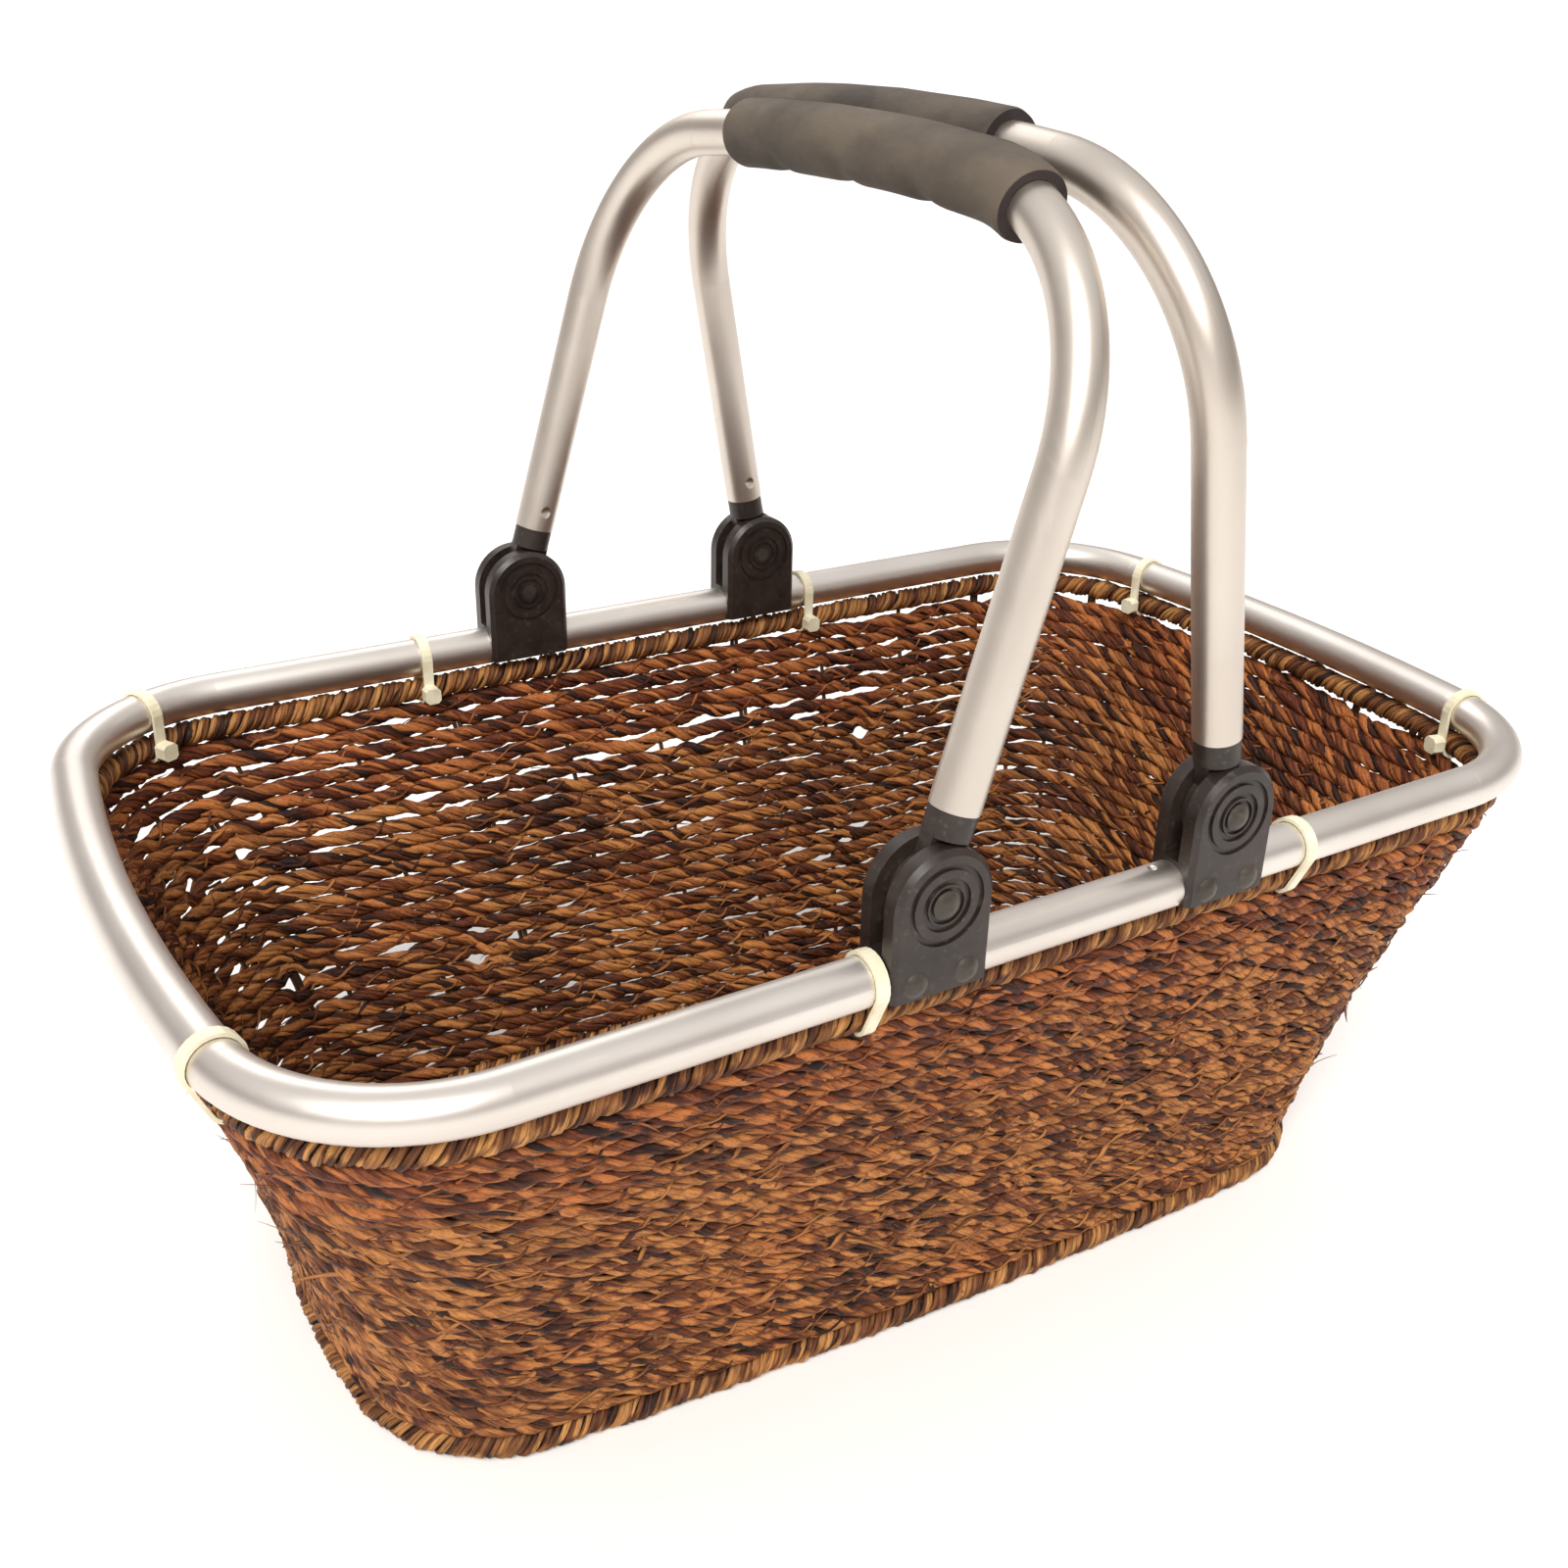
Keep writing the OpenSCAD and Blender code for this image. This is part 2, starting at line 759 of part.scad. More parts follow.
rim_tube();
rim_joiner();
bracket_front_left();
bracket_front_right();
bracket_rear_left();
bracket_rear_right();
bracket_rivets();
pivot_pins();
end_fitting_front_left();
end_fitting_rear_left();
end_fitting_front_right();
end_fitting_rear_right();
handle_tube_left();
handle_tube_right();
grip_left();
grip_right();
cable_ties();
top_hoop();
top_wrap();
base_hoop();
base_wrap();
stakes();
wall_weave();
base_weave();
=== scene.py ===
"""Looks of the woven shopping basket: seagrass body, aluminium rim, two folding handles.

Everything is worked out in millimetres, in the CAD part's frame, and turned into metres
where a mesh is made. The weave follows the same outlines and the same wall as the part.
"""

import math

import bmesh
import bpy
import numpy as np
from mathutils import Matrix, Vector


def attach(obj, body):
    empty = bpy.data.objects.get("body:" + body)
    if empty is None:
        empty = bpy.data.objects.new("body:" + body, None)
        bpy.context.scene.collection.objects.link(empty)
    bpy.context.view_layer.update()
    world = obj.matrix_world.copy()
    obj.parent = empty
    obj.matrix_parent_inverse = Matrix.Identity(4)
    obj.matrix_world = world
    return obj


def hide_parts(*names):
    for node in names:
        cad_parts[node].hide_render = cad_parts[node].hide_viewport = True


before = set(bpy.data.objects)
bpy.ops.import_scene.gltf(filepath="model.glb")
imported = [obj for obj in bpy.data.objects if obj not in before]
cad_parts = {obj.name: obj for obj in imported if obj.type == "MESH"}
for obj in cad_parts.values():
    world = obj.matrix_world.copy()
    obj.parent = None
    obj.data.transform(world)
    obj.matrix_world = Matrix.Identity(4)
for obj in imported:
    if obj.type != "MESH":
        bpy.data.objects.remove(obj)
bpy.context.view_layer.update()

METRES = 0.001
SEED = 20
chance = np.random.default_rng(SEED)
# high end of a random starting angle, just over a whole turn
ANY_ANGLE = 6.3

# ---------- sizes shared with the part, in millimetres ----------

RIM_A = 243.5
RIM_B = 142.5
RIM_CORNER = 59.0
RIM_END = 690.0
HOOP_INSET = 2.5
HOOP_HEIGHT = 171.4
TOP_WRAP_R = 4.7
BASE_A = 199.8
BASE_B = 102.2
BASE_CORNER = 52.5
BASE_END = 255.5
BASE_SIDE = 2405.5
BASE_TURN = math.radians(-3.3)
BASE_WRAP_R = 4.5
BASE_HOOP_HEIGHT = 4.53
WALL_BOTTOM = 9.3
WALL_TOP = 165.05
WALL_SAG = 0.38

PIVOT_X = 54.7
PIVOT_HEIGHT = 206.9
HANDLE_HEIGHT = 188.4
SHOULDER_R = 67.8
CROWN_ANGLE = math.radians(5.1)
LEFT_LEAN = math.radians(16.5)
RIGHT_LEAN = math.radians(10.4)
GRIP_R = 11.0
GRIP_BORE_R = 7.6



def linked(name, data):
    """A new object of the scene for a mesh, curve, camera or light."""
    made = bpy.data.objects.new(name, data)
    bpy.context.scene.collection.objects.link(made)
    return made


# ---------- camera ----------

CAMERA_PLACE = Vector((-0.293114, -0.451111, 0.427822))
CAMERA_YAW = -0.56964
CAMERA_PITCH = -0.44247
CAMERA_ROLL = 0.03321
CAMERA_LENS = 37.233
CAMERA_SHIFT = (-0.01447, -0.01166)
CAMERA_SENSOR = 36
CAMERA_FAR = 300


def add_camera():
    """The camera a little above the grips, close in front of the basket's left end."""
    ahead = Vector((
        -math.sin(CAMERA_YAW) * math.cos(CAMERA_PITCH),
        math.cos(CAMERA_YAW) * math.cos(CAMERA_PITCH),
        math.sin(CAMERA_PITCH),
    ))
    level = Vector((math.cos(CAMERA_YAW), math.sin(CAMERA_YAW), 0))
    upright = level.cross(ahead)
    right = level * math.cos(CAMERA_ROLL) + upright * math.sin(CAMERA_ROLL)
    up = upright * math.cos(CAMERA_ROLL) - level * math.sin(CAMERA_ROLL)
    data = bpy.data.cameras.new("camera")
    data.sensor_width = CAMERA_SENSOR
    data.lens = CAMERA_LENS
    data.shift_x, data.shift_y = CAMERA_SHIFT
    data.clip_end = CAMERA_FAR
    camera = linked("camera", data)
    turn = Matrix((right, up, -ahead)).transposed().to_4x4()
    camera.matrix_world = Matrix.Translation(CAMERA_PLACE) @ turn
    bpy.context.scene.camera = camera


# ---------- shader sums ----------


class Wire:
    """A number or vector inside a finish, with the sums the finishes use."""

    def __init__(self, finish, socket):
        self.finish = finish
        self.socket = socket

    def sum_with(self, operation, first, second):
        return self.finish.node("ShaderNodeMath", {"operation": operation}, [first, second])

    def __add__(self, other):
        return self.sum_with("ADD", self, other)

    def __radd__(self, other):
        return self.sum_with("ADD", other, self)

    def __sub__(self, other):
        return self.sum_with("SUBTRACT", self, other)

    def __rsub__(self, other):
        return self.sum_with("SUBTRACT", other, self)

    def __mul__(self, other):
        return self.sum_with("MULTIPLY", self, other)

    def __rmul__(self, other):
        return self.sum_with("MULTIPLY", other, self)


def set_stops(ramp, stops):
    while len(ramp.elements) < len(stops):
        ramp.elements.new(1.0)
    for element, (place, colour) in zip(ramp.elements, stops):
        element.position = place
        element.color = (*colour, 1.0)


class Finish:
    """A material and the short ways of wiring it up."""

    def __init__(self, name):
        self.material = bpy.data.materials.new(name)
        self.material.use_nodes = True
        self.tree = self.material.node_tree
        self.shader = self.tree.nodes["Principled BSDF"]

    def node(self, kind, settings=None, values=(), output=0):
        """Adds a node: its settings first, then values or wires for its inputs."""
        made = self.tree.nodes.new(kind)
        for name, value in (settings or {}).items():
            if name == "stops":
                set_stops(made.color_ramp, value)
            else:
                setattr(made, name, value)
        pairs = values.items() if isinstance(values, dict) else enumerate(values)
        for place, value in pairs:
            self.feed(made.inputs[place], value)
        return Wire(self, made.outputs[output])

    def feed(self, socket, value):
        if isinstance(value, Wire):
            self.tree.links.new(value.socket, socket)
        else:
            socket.default_value = value

    def place(self):
        """Where a point is on the object, in metres."""
        return self.node("ShaderNodeTexCoord", output="Object")

    def own(self, name, output="Vector"):
        """A value that the piece's own mesh carries."""
        return self.node("ShaderNodeAttribute", {"attribute_name": name}, output=output)

    def stretched(self, vector, scale):
        return self.node("ShaderNodeVectorMath", {"operation": "MULTIPLY"}, [vector, scale])

    def noise(self, vector, scale, detail=3.0, roughness=0.55, distortion=0.0):
        values = {"Vector": vector, "Scale": scale, "Detail": detail,
                  "Roughness": roughness, "Distortion": distortion}
        return self.node("ShaderNodeTexNoise", values=values)

    def between(self, value, low, high):
        """Value's stretch from low to high, spread from 0 to 1 and held at its ends."""
        return self.node("ShaderNodeMapRange", {"clamp": True}, [value, low, high])

    def ramp(self, value, stops):
        return self.node("ShaderNodeValToRGB", {"stops": stops}, [value])

    def mixed(self, share, first, second, how="MIX"):
        settings = {"data_type": "RGBA", "blend_type": how}
        values = {0: share, 6: self.colour(first), 7: self.colour(second)}
        return self.node("ShaderNodeMix", settings, values, output=2)

    def colour(self, value):
        return value if isinstance(value, Wire) else (*value, 1.0)

    def bumped(self, height, strength, distance):
        values = {"Strength": strength, "Distance": distance, "Height": height}
        return self.node("ShaderNodeBump", values=values)

    def finish(self, **sockets):
        """Wires the principled shader: base_color feeds Base Color, and so on."""
        names = {s.name.lower().replace(" ", "_"): s for s in self.shader.inputs}
        for name, value in sockets.items():
            if isinstance(value, tuple) and names[name].type == "RGBA":
                value = (*value, 1.0)
            self.feed(names[name], value)
        return self.material


# ---------- finishes ----------


def satin_aluminium(name, along, dull, clean):
    """Anodised tube: fine rubbing marks along it, faint handling marks, clean sheen."""
    f = Finish(name)
    place = f.place()
    streaks = f.noise(f.stretched(place, along), 1.0, 4.0, 0.6)
    cloud = f.noise(place, 14.0, 3.0, 0.5)
    scratch = f.noise(f.stretched(place, tuple(2.5 * s for s in along)), 1.0, 2.0, 0.5)
    marks = f.between(scratch, 0.66, 0.74)
    tone = f.mixed(f.between(cloud, 0.35, 0.65), dull, clean)
    tone = f.mixed(marks * 0.35, tone, (0.62, 0.58, 0.55))
    rough = 0.31 + 0.09 * streaks + 0.07 * cloud + 0.08 * marks
    height = streaks * 0.5 + marks * 0.4
    return f.finish(base_color=tone, metallic=1.0, roughness=rough,
                    normal=f.bumped(height, 0.10, 0.0002))


def moulded_plastic(name, dark, light, gloss):
    """Injection-moulded black plastic: fine grain, faint flow marks, paler rubbed places."""
    f = Finish(name)
    place = f.place()
    grain = f.noise(place, 2600.0, 2.0, 0.5)
    flow = f.noise(place, 90.0, 4.0, 0.6, 0.6)
    dust = f.between(f.noise(place, 420.0, 3.0, 0.6), 0.58, 0.72)
    tone = f.mixed(f.between(flow, 0.3, 0.7), dark, light)
    tone = f.mixed(dust * 0.22, tone, (0.16, 0.14, 0.12))
    rough = gloss + 0.14 * flow + 0.12 * grain + 0.1 * dust
    height = grain * 0.6 + flow * 0.4
    return f.finish(base_color=tone, roughness=rough, specular_ior_level=0.42,
                    normal=f.bumped(height, 0.25, 0.0002))


def closed_cell_foam(name, dark, light):
    """Foam sleeve: matt skin, tiny pores, brown-grey bloom where hands have rubbed."""
    f = Finish(name)
    place = f.place()
    pores = f.node("ShaderNodeTexVoronoi", {"feature": "F1"},
                   {"Vector": place, "Scale": 1500.0})
    skin = f.noise(place, 620.0, 3.0, 0.6)
    bloom = f.noise(f.stretched(place, (40.0, 22.0, 40.0)), 1.0, 4.0, 0.6)
    tone = f.mixed(f.between(bloom, 0.35, 0.68), dark, light)
    tone = f.mixed(f.between(skin, 0.6, 0.8) * 0.35, tone, tuple(1.1 * c for c in light))
    rough = 0.62 + 0.2 * skin
    height = f.between(pores, 0.0, 0.45) * 0.6 + skin * 0.8
    return f.finish(base_color=tone, roughness=rough, specular_ior_level=0.35,
                    normal=f.bumped(height, 0.5, 0.00035))


def natural_nylon():
    """Cable-tie nylon: milky cream, a little waxy."""
    f = Finish("natural_nylon")
    place = f.place()
    cloud = f.noise(place, 160.0, 3.0, 0.5)
    rub = f.noise(f.stretched(place, (900.0, 900.0, 500.0)), 1.0, 2.0, 0.5)
    tone = f.mixed(f.between(cloud, 0.35, 0.65), (0.72, 0.655, 0.47), (0.83, 0.785, 0.60))
    rough = 0.34 + 0.12 * rub
    return f.finish(base_color=tone, roughness=rough, subsurface_weight=0.25,
                    subsurface_radius=(0.004, 0.003, 0.0015),
                    normal=f.bumped(rub, 0.15, 0.0002))


def drawn_wire():
    f = Finish("drawn_wire")
    place = f.place()
    rust = f.noise(place, 220.0, 4.0, 0.6)
    tone = f.mixed(f.between(rust, 0.45, 0.65), (0.42, 0.40, 0.38), (0.22, 0.13, 0.08))
    return f.finish(base_color=tone, metallic=0.9, roughness=0.35 + 0.3 * rust,
                    normal=f.bumped(rust, 0.2, 0.0002))


# scales of the patterns, along, out of and across the strand
FIBRE_SCALE = (95.0, 2200.0, 2200.0)
COARSE_SCALE = (60.0, 950.0, 950.0)
# how much the strand's own shade, its coarse streaks and the wall's patches count
SHADE_SHARE, COARSE_SHARE, PATCH_SHARE, DRYNESS_SHIFT = 0.62, 0.56, 0.28, 0.235
DEEP_UP_TO, MID_AT, PALE_FROM = 0.22, 0.44, 0.72
RED_BAND = 0.045
RED_SHARE = 0.55
DARK_FIBRE_SHARE = 0.75
PALE_FIBRE_SHARE = 0.5
# painted shade where strands press together: how far out of and into a strand's middle it turns
# dark, in metres
CREVICE_SHADE_DEPTH = 0.0008
CREVICE_SHADE_SHARE = 0.85
CREVICE_SHADE_TONE = 0.35


def dried_seagrass(name, deep, mid, pale, red, red_from, gloss=0.42):
    """Strand of dried seagrass. strand_place is (along, depth, side) on the strand laid
    straight, so that fibres run along it; strand_shade says how pale a stretch dried, and is
    lowered on the rope's inner side as painted shade. Deep in the strand, where strands press
    together, the colour goes dark as painted shade."""
    f = Finish(name)
    strand = f.own("strand_place")
    shade = f.own("strand_shade", "Fac")
    place = f.place()
    fibres = f.noise(f.stretched(strand, FIBRE_SCALE), 1.0, 3.0, 0.65)
    coarse = f.noise(f.stretched(strand, COARSE_SCALE), 1.0, 2.0, 0.5)
    patch = f.noise(place, 16.0, 3.0, 0.6)
    dryness = shade * SHADE_SHARE + coarse * COARSE_SHARE + patch * PATCH_SHARE - DRYNESS_SHIFT
    tone = f.ramp(dryness, [(0.0, deep), (DEEP_UP_TO, deep), (MID_AT, mid), (PALE_FROM, pale)])
    height = f.node("ShaderNodeSeparateXYZ", values=[place], output="Z")
    reach = f.between(height, red_from, red_from + RED_BAND)
    redness = f.between(f.noise(place, 30.0, 2.0, 0.5) + reach * 0.34, 0.52, 0.78)
    tone = f.mixed(redness * RED_SHARE, tone, f.mixed(fibres, tone, red, "MULTIPLY"))
    tone = f.mixed(f.between(fibres, 0.53, 0.30) * DARK_FIBRE_SHARE, tone, deep)
    tone = f.mixed(f.between(fibres, 0.60, 0.76) * PALE_FIBRE_SHARE, tone, pale)
    depth = f.node("ShaderNodeSeparateXYZ", values=[strand], output="Y")
    # painted shade: the strand darkens towards its middle, where it lies against its neighbours
    crevice_shade = f.between(depth, CREVICE_SHADE_DEPTH, -CREVICE_SHADE_DEPTH)
    tone = f.mixed(crevice_shade * CREVICE_SHADE_SHARE, tone, tuple(CREVICE_SHADE_TONE * c for c in deep))
    rough = gloss + 0.25 * (1.0 - fibres) + 0.1 * patch
    bump = f.bumped(fibres + coarse * 0.8, 0.75, 0.0007)
    return f.finish(base_color=tone, roughness=rough, specular_ior_level=0.3, normal=bump)


# ---------- outlines of the rim, the hoops and the base ----------

END_STEPS = 24
CORNER_STEPS = 48
SIDE_STEPS = 48


def corner_centre(a, b, corner, end, side):
    """Centre of the corner arc in the first quarter; side 0 means a straight long side."""
    if side == 0:
        return np.array([a - end + math.sqrt((end - corner) ** 2 - (b - corner) ** 2), b - corner])
    first, second = np.array([a - end, 0.0]), np.array([0.0, b - side])
    r1, r2 = end - corner, side - corner
    gap = np.linalg.norm(second - first)
    u = (second - first) / gap
    m = (r1 * r1 - r2 * r2 + gap * gap) / (2 * gap)
    return first + m * u + math.sqrt(r1 * r1 - m * m) * np.array([-u[1], u[0]])


def outline(a, b, corner, end, side=0):
    """Closed ring of points: bowed ends, round corners, straight or bowed long sides."""
    c = corner_centre(a, b, corner, end, side)
    t1 = math.atan2(c[1], c[0] - a + end)
    t2 = math.pi / 2 if side == 0 else math.atan2(c[1] - b + side, c[0])
    t = np.linspace(0, t1, END_STEPS, endpoint=False)
    parts = [np.stack([a - end + end * np.cos(t), end * np.sin(t)], 1)]
    t = np.linspace(t1, t2, CORNER_STEPS, endpoint=False)
    parts.append(np.stack([c[0] + corner * np.cos(t), c[1] + corner * np.sin(t)], 1))
    if side == 0:
        k = np.linspace(1, 0, SIDE_STEPS + 1)
        parts.append(np.stack([c[0] * k, b + 0 * k], 1))
    else:
        t = np.linspace(t2, math.pi / 2, SIDE_STEPS + 1)
        parts.append(np.stack([side * np.cos(t), b - side + side * np.sin(t)], 1))
    quarter = np.concatenate(parts)
    there, back = quarter[:-1], quarter[:0:-1]
    return np.concatenate([there, back * [-1, 1], there * [-1, -1], back * [1, -1]])


def turned(points, angle):
    c, s = math.cos(angle), math.sin(angle)
    return points @ np.array([[c, s], [-s, c]])


BASE_RING = turned(outline(BASE_A, BASE_B, BASE_CORNER, BASE_END, BASE_SIDE), BASE_TURN)
TOP_RING = outline(RIM_A - HOOP_INSET, RIM_B - HOOP_INSET, RIM_CORNER - HOOP_INSET,
                   RIM_END - HOOP_INSET)


def wall_ring(level):
    """The wall's middle line at a level from 0, at the base, to 1, under the top hoop."""
    share = level - WALL_SAG * level * (1 - level)
    ring = BASE_RING * (1 - share) + TOP_RING * share
    height = WALL_BOTTOM + (WALL_TOP - WALL_BOTTOM) * level
    return np.column_stack([ring, np.full(len(ring), height)])


def level_ring(ring, height):
    return np.column_stack([ring, np.full(len(ring), height)])


def ring_way(ring):
    """How far along a closed ring each of its points is, and last the whole way round."""
    steps = np.linalg.norm(np.roll(ring, -1, axis=0) - ring, axis=1)
    return np.concatenate([[0], np.cumsum(steps)])


def paced(ring, count, values=None):
    """A ring's points, or values that belong to them, taken an equal way apart round it."""
    way = ring_way(ring)
    at = np.linspace(0, way[-1], count, endpoint=False)
    values = ring if values is None else values
    full = np.vstack([values, values[:1]])
    return np.stack([np.interp(at, way, full[:, k]) for k in range(3)], 1)


def ring_length(ring):
    return ring_way(ring)[-1]


def outward(path):
    """Level directions out of the basket along a closed path."""
    ahead = np.roll(path, -1, axis=0) - np.roll(path, 1, axis=0)
    out = np.stack([ahead[:, 1], -ahead[:, 0], 0 * ahead[:, 0]], 1)
    return out / np.linalg.norm(out, axis=1, keepdims=True)


WANDER_WAVES = 5
WANDER_HEIGHT = 2.2


def wander(count, waves, size):
    """Smooth closed random curve of the given size, with about so many waves in it."""
    at = np.linspace(0, 2 * math.pi, count, endpoint=False)
    total = np.zeros(count)
    for _ in range(WANDER_WAVES):
        turns = max(1, int(waves * chance.uniform(0.5, 1.5)))
        total += chance.uniform(0.4, 1) * np.sin(turns * at + chance.uniform(0, ANY_ANGLE))
    return size * total / WANDER_HEIGHT


# ---------- strands ----------

# how many sides a round tube gets at each bevel resolution
GRASS_SIDES = {0: 4, 1: 6, 2: 8}
# length over which a strand may start in the grass pattern, in millimetres
ANY_START = 4000


def strand(points, radii, radial, flat=0.78, wide=1.12, closed=True, shade=None):
    """What a strand needs to be drawn: its line, its thickness, which way is outwards on
    the rope it belongs to, how far it is flattened, and how pale it is along its way."""
    if shade is None:
        shade = np.clip(0.5 + wander(len(points), len(points) / 60, 0.4), 0, 1)
    return {"points": points, "radii": radii, "radial": radial, "flat": flat,
            "wide": wide, "closed": closed, "shade": shade}


def draw_strands(name, strands, resolution=1):
    """One mesh of many strands: round tubes from a curve, flattened against their rope,
    each vertex carrying its place on the strand laid straight, and its shade."""
    sides = GRASS_SIDES[resolution]
    curve = bpy.data.curves.new(name, "CURVE")
    curve.dimensions = "3D"
    curve.bevel_depth = METRES
    curve.bevel_resolution = resolution
    curve.use_fill_caps = False
    for s in strands:
        spline = curve.splines.new("POLY")
        spline.points.add(len(s["points"]) - 1)
        four = np.column_stack([s["points"] * METRES, np.ones(len(s["points"]))])
        spline.points.foreach_set("co", four.ravel())
        spline.points.foreach_set("radius", s["radii"])
        spline.use_cyclic_u = s["closed"]
        spline.use_smooth = True
    drawn = linked(name, curve)
    graph = bpy.context.evaluated_depsgraph_get()
    mesh = bpy.data.meshes.new_from_object(drawn.evaluated_get(graph))
    bpy.data.objects.remove(drawn)
    bpy.data.curves.remove(curve)
    mesh.name = name

    count = len(mesh.vertices)
    co = np.zeros(count * 3)
    mesh.vertices.foreach_get("co", co)
    co = co.reshape(-1, 3)
    middle = np.concatenate([np.repeat(s["points"], sides, 0) for s in strands]) * METRES
    radial = np.concatenate([np.repeat(s["radial"], sides, 0) for s in strands])
    flat = np.concatenate([np.full(len(s["points"]) * sides, s["flat"]) for s in strands])
    wide = np.concatenate([np.full(len(s["points"]) * sides, s["wide"]) for s in strands])
    shade = np.concatenate([np.repeat(s["shade"], sides) for s in strands])
    way = np.concatenate([np.repeat(strand_way(s), sides) for s in strands]) * METRES
    assert len(middle) == count, (len(middle), count)
    offset = co - middle
    depth = (offset * radial).sum(1)
    rest = offset - depth[:, None] * radial
    co = middle + depth[:, None] * radial * flat[:, None] + rest * wide[:, None]
    co[:, 2] = np.maximum(co[:, 2], 0)
    mesh.vertices.foreach_set("co", co.ravel())
    across = np.linalg.norm(rest, axis=1) * np.sign(rest[:, 2] + 1e-9)
    place = np.stack([way, depth, across], 1)
    mesh.attributes.new("strand_place", "FLOAT_VECTOR", "POINT")
    mesh.attributes["strand_place"].data.foreach_set("vector", place.ravel())
    mesh.attributes.new("strand_shade", "FLOAT", "POINT")
    mesh.attributes["strand_shade"].data.foreach_set("value", shade)
    mesh.update()
    return linked(name, mesh)


def strand_way(s):
    steps = np.linalg.norm(np.diff(s["points"], axis=0), axis=1)
    return np.concatenate([[0], np.cumsum(steps)]) + chance.uniform(0, ANY_START)


ROPE_LAY = 24.0
ROPE_REACH = (1.5, 1.95)
# painted shade: how much darker the blades on a rope's inner side are drawn
INNER_PAINTED_SHADE = 0.07
# how far round the rope each blade of grass starts, in turns, and its share of the full size
BLADES = ((0.0, 1.0), (0.15, 0.8), (-0.14, 0.68), (0.5, 1.0), (0.64, 0.8), (0.37, 0.68))
STRAND_R = 1.42
STRAND_FLAT = 0.88
STRAND_WIDE = 1.14
SAMPLES_PER_LAY = 11
EDGE_R = 0.45
EDGE_REACH = 2.75
LOOSE_TURNS = 0.6
BLADE_SHADE = 0.55
BLADE_TINT = 0.42
# the ropes are thicker at the right end of the basket, where the rows lie tight
FULL_FROM = 185.0
FULL_OVER = 30.0
FULL_SWELL = 0.14


def rope(path_of, length, strand_r=STRAND_R, samples=SAMPLES_PER_LAY, closed=True,
         reach=ROPE_REACH, blades=BLADES):
    """Blades of grass laid up left-handed in two bunches along a path: path_of(count)
    gives the path's points, its outward directions and its across directions."""
    turns = max(2, round(length / ROPE_LAY))
    count = turns * samples
    path, out, across = path_of(count)
    full = 1 + FULL_SWELL * np.clip((path[:, 0] - FULL_FROM) / FULL_OVER, 0, 1)
    slip = wander(count, length / 90, 0.6) + wander(count, length / 30, 0.3)
    phase = 2 * math.pi * turns * np.arange(count) / count + slip + chance.uniform(0, ANY_ANGLE)
    made = []
    for start, size in blades:
        own = phase + 2 * math.pi * start + wander(count, length / 35, 0.2)
        angle = -own[:, None]
        radial = np.cos(angle) * out + np.sin(angle) * across
        offset = reach[0] * np.cos(angle) * out + reach[1] * np.sin(angle) * across
        offset *= (full * (1 + wander(count, length / 28, 0.14)))[:, None]
        swell = full + wander(count, length / 26, 0.14) + wander(count, length / 9, 0.18)
        leaf = np.floor(own / (2 * math.pi)).astype(int)
        tints = chance.uniform(-BLADE_TINT, BLADE_TINT, leaf.max() - leaf.min() + 1)
        shade = BLADE_SHADE + wander(count, length / 140, 0.2) + tints[leaf - leaf.min()]
        # painted shade: blades on the side of the rope away from its outward direction (into the
        # basket, under the base) are drawn darker
        shade -= INNER_PAINTED_SHADE * np.clip(0.5 - 1.5 * np.cos(angle[:, 0]), 0, 1)
        made.append(strand(path + offset, strand_r * size * swell, radial, flat=STRAND_FLAT,
                           wide=STRAND_WIDE, closed=closed, shade=np.clip(shade, 0, 1)))
    # a thin leaf edge that has come loose and winds the other way over the bunches
    loose = 2 * math.pi * round(LOOSE_TURNS * turns) * np.arange(count) / count
    angle = (loose + chance.uniform(0, ANY_ANGLE) + wander(count, length / 24, 1.2))[:, None]
    radial = np.cos(angle) * out + np.sin(angle) * across
    lift = EDGE_REACH + wander(count, length / 30, 0.35)[:, None]
    swell = np.clip(1 + wander(count, length / 20, 0.6), 0.3, 2)
    shade = np.clip(0.6 + wander(count, length / 50, 0.4), 0, 1)
    made.append(strand(path + lift * radial, EDGE_R * swell, radial, flat=0.7, wide=1.3,
                       closed=closed, shade=shade))
    return made


# ---------- the woven wall ----------

ROWS = 26
ROW_WAVE = 0.22
JOINT_WAVE = 1.0
TOP_LIFT = 1.1
UPPER_SWELL = 0.09
SLIT_PLACES = 80
SLIT_FADE = 0.45
# the slit rows that stand open across the rear wall: the gap they start from, how it climbs
# to the right, and how far they reach either side of their middle
OPEN_GAP = 19.3
OPEN_CLIMB = 110.0
OPEN_MIDDLE = -25.0
OPEN_REACH = 150.0
OPEN_ROWS_WIDE = 1.1
OPEN_HEIGHTS = (1.0, 2.8)
OPEN_HALF = 4
SLIT_HEIGHT = 0.74
SLIT_HALVES = (2.5, 5.5)
SLIT_SLIP = 3
SLIT_ROWS = 4
RIGHT_SHARE = 0.1
# the slits between the top rope and the wrap, wide at the rear right and almost shut elsewhere
TOP_FROM = 30
TOP_WIDE = 2.6
TOP_SHUT = 0.2
TOP_HALF = 6
REAR_FROM = 90.0
RIGHT_FROM = 205.0


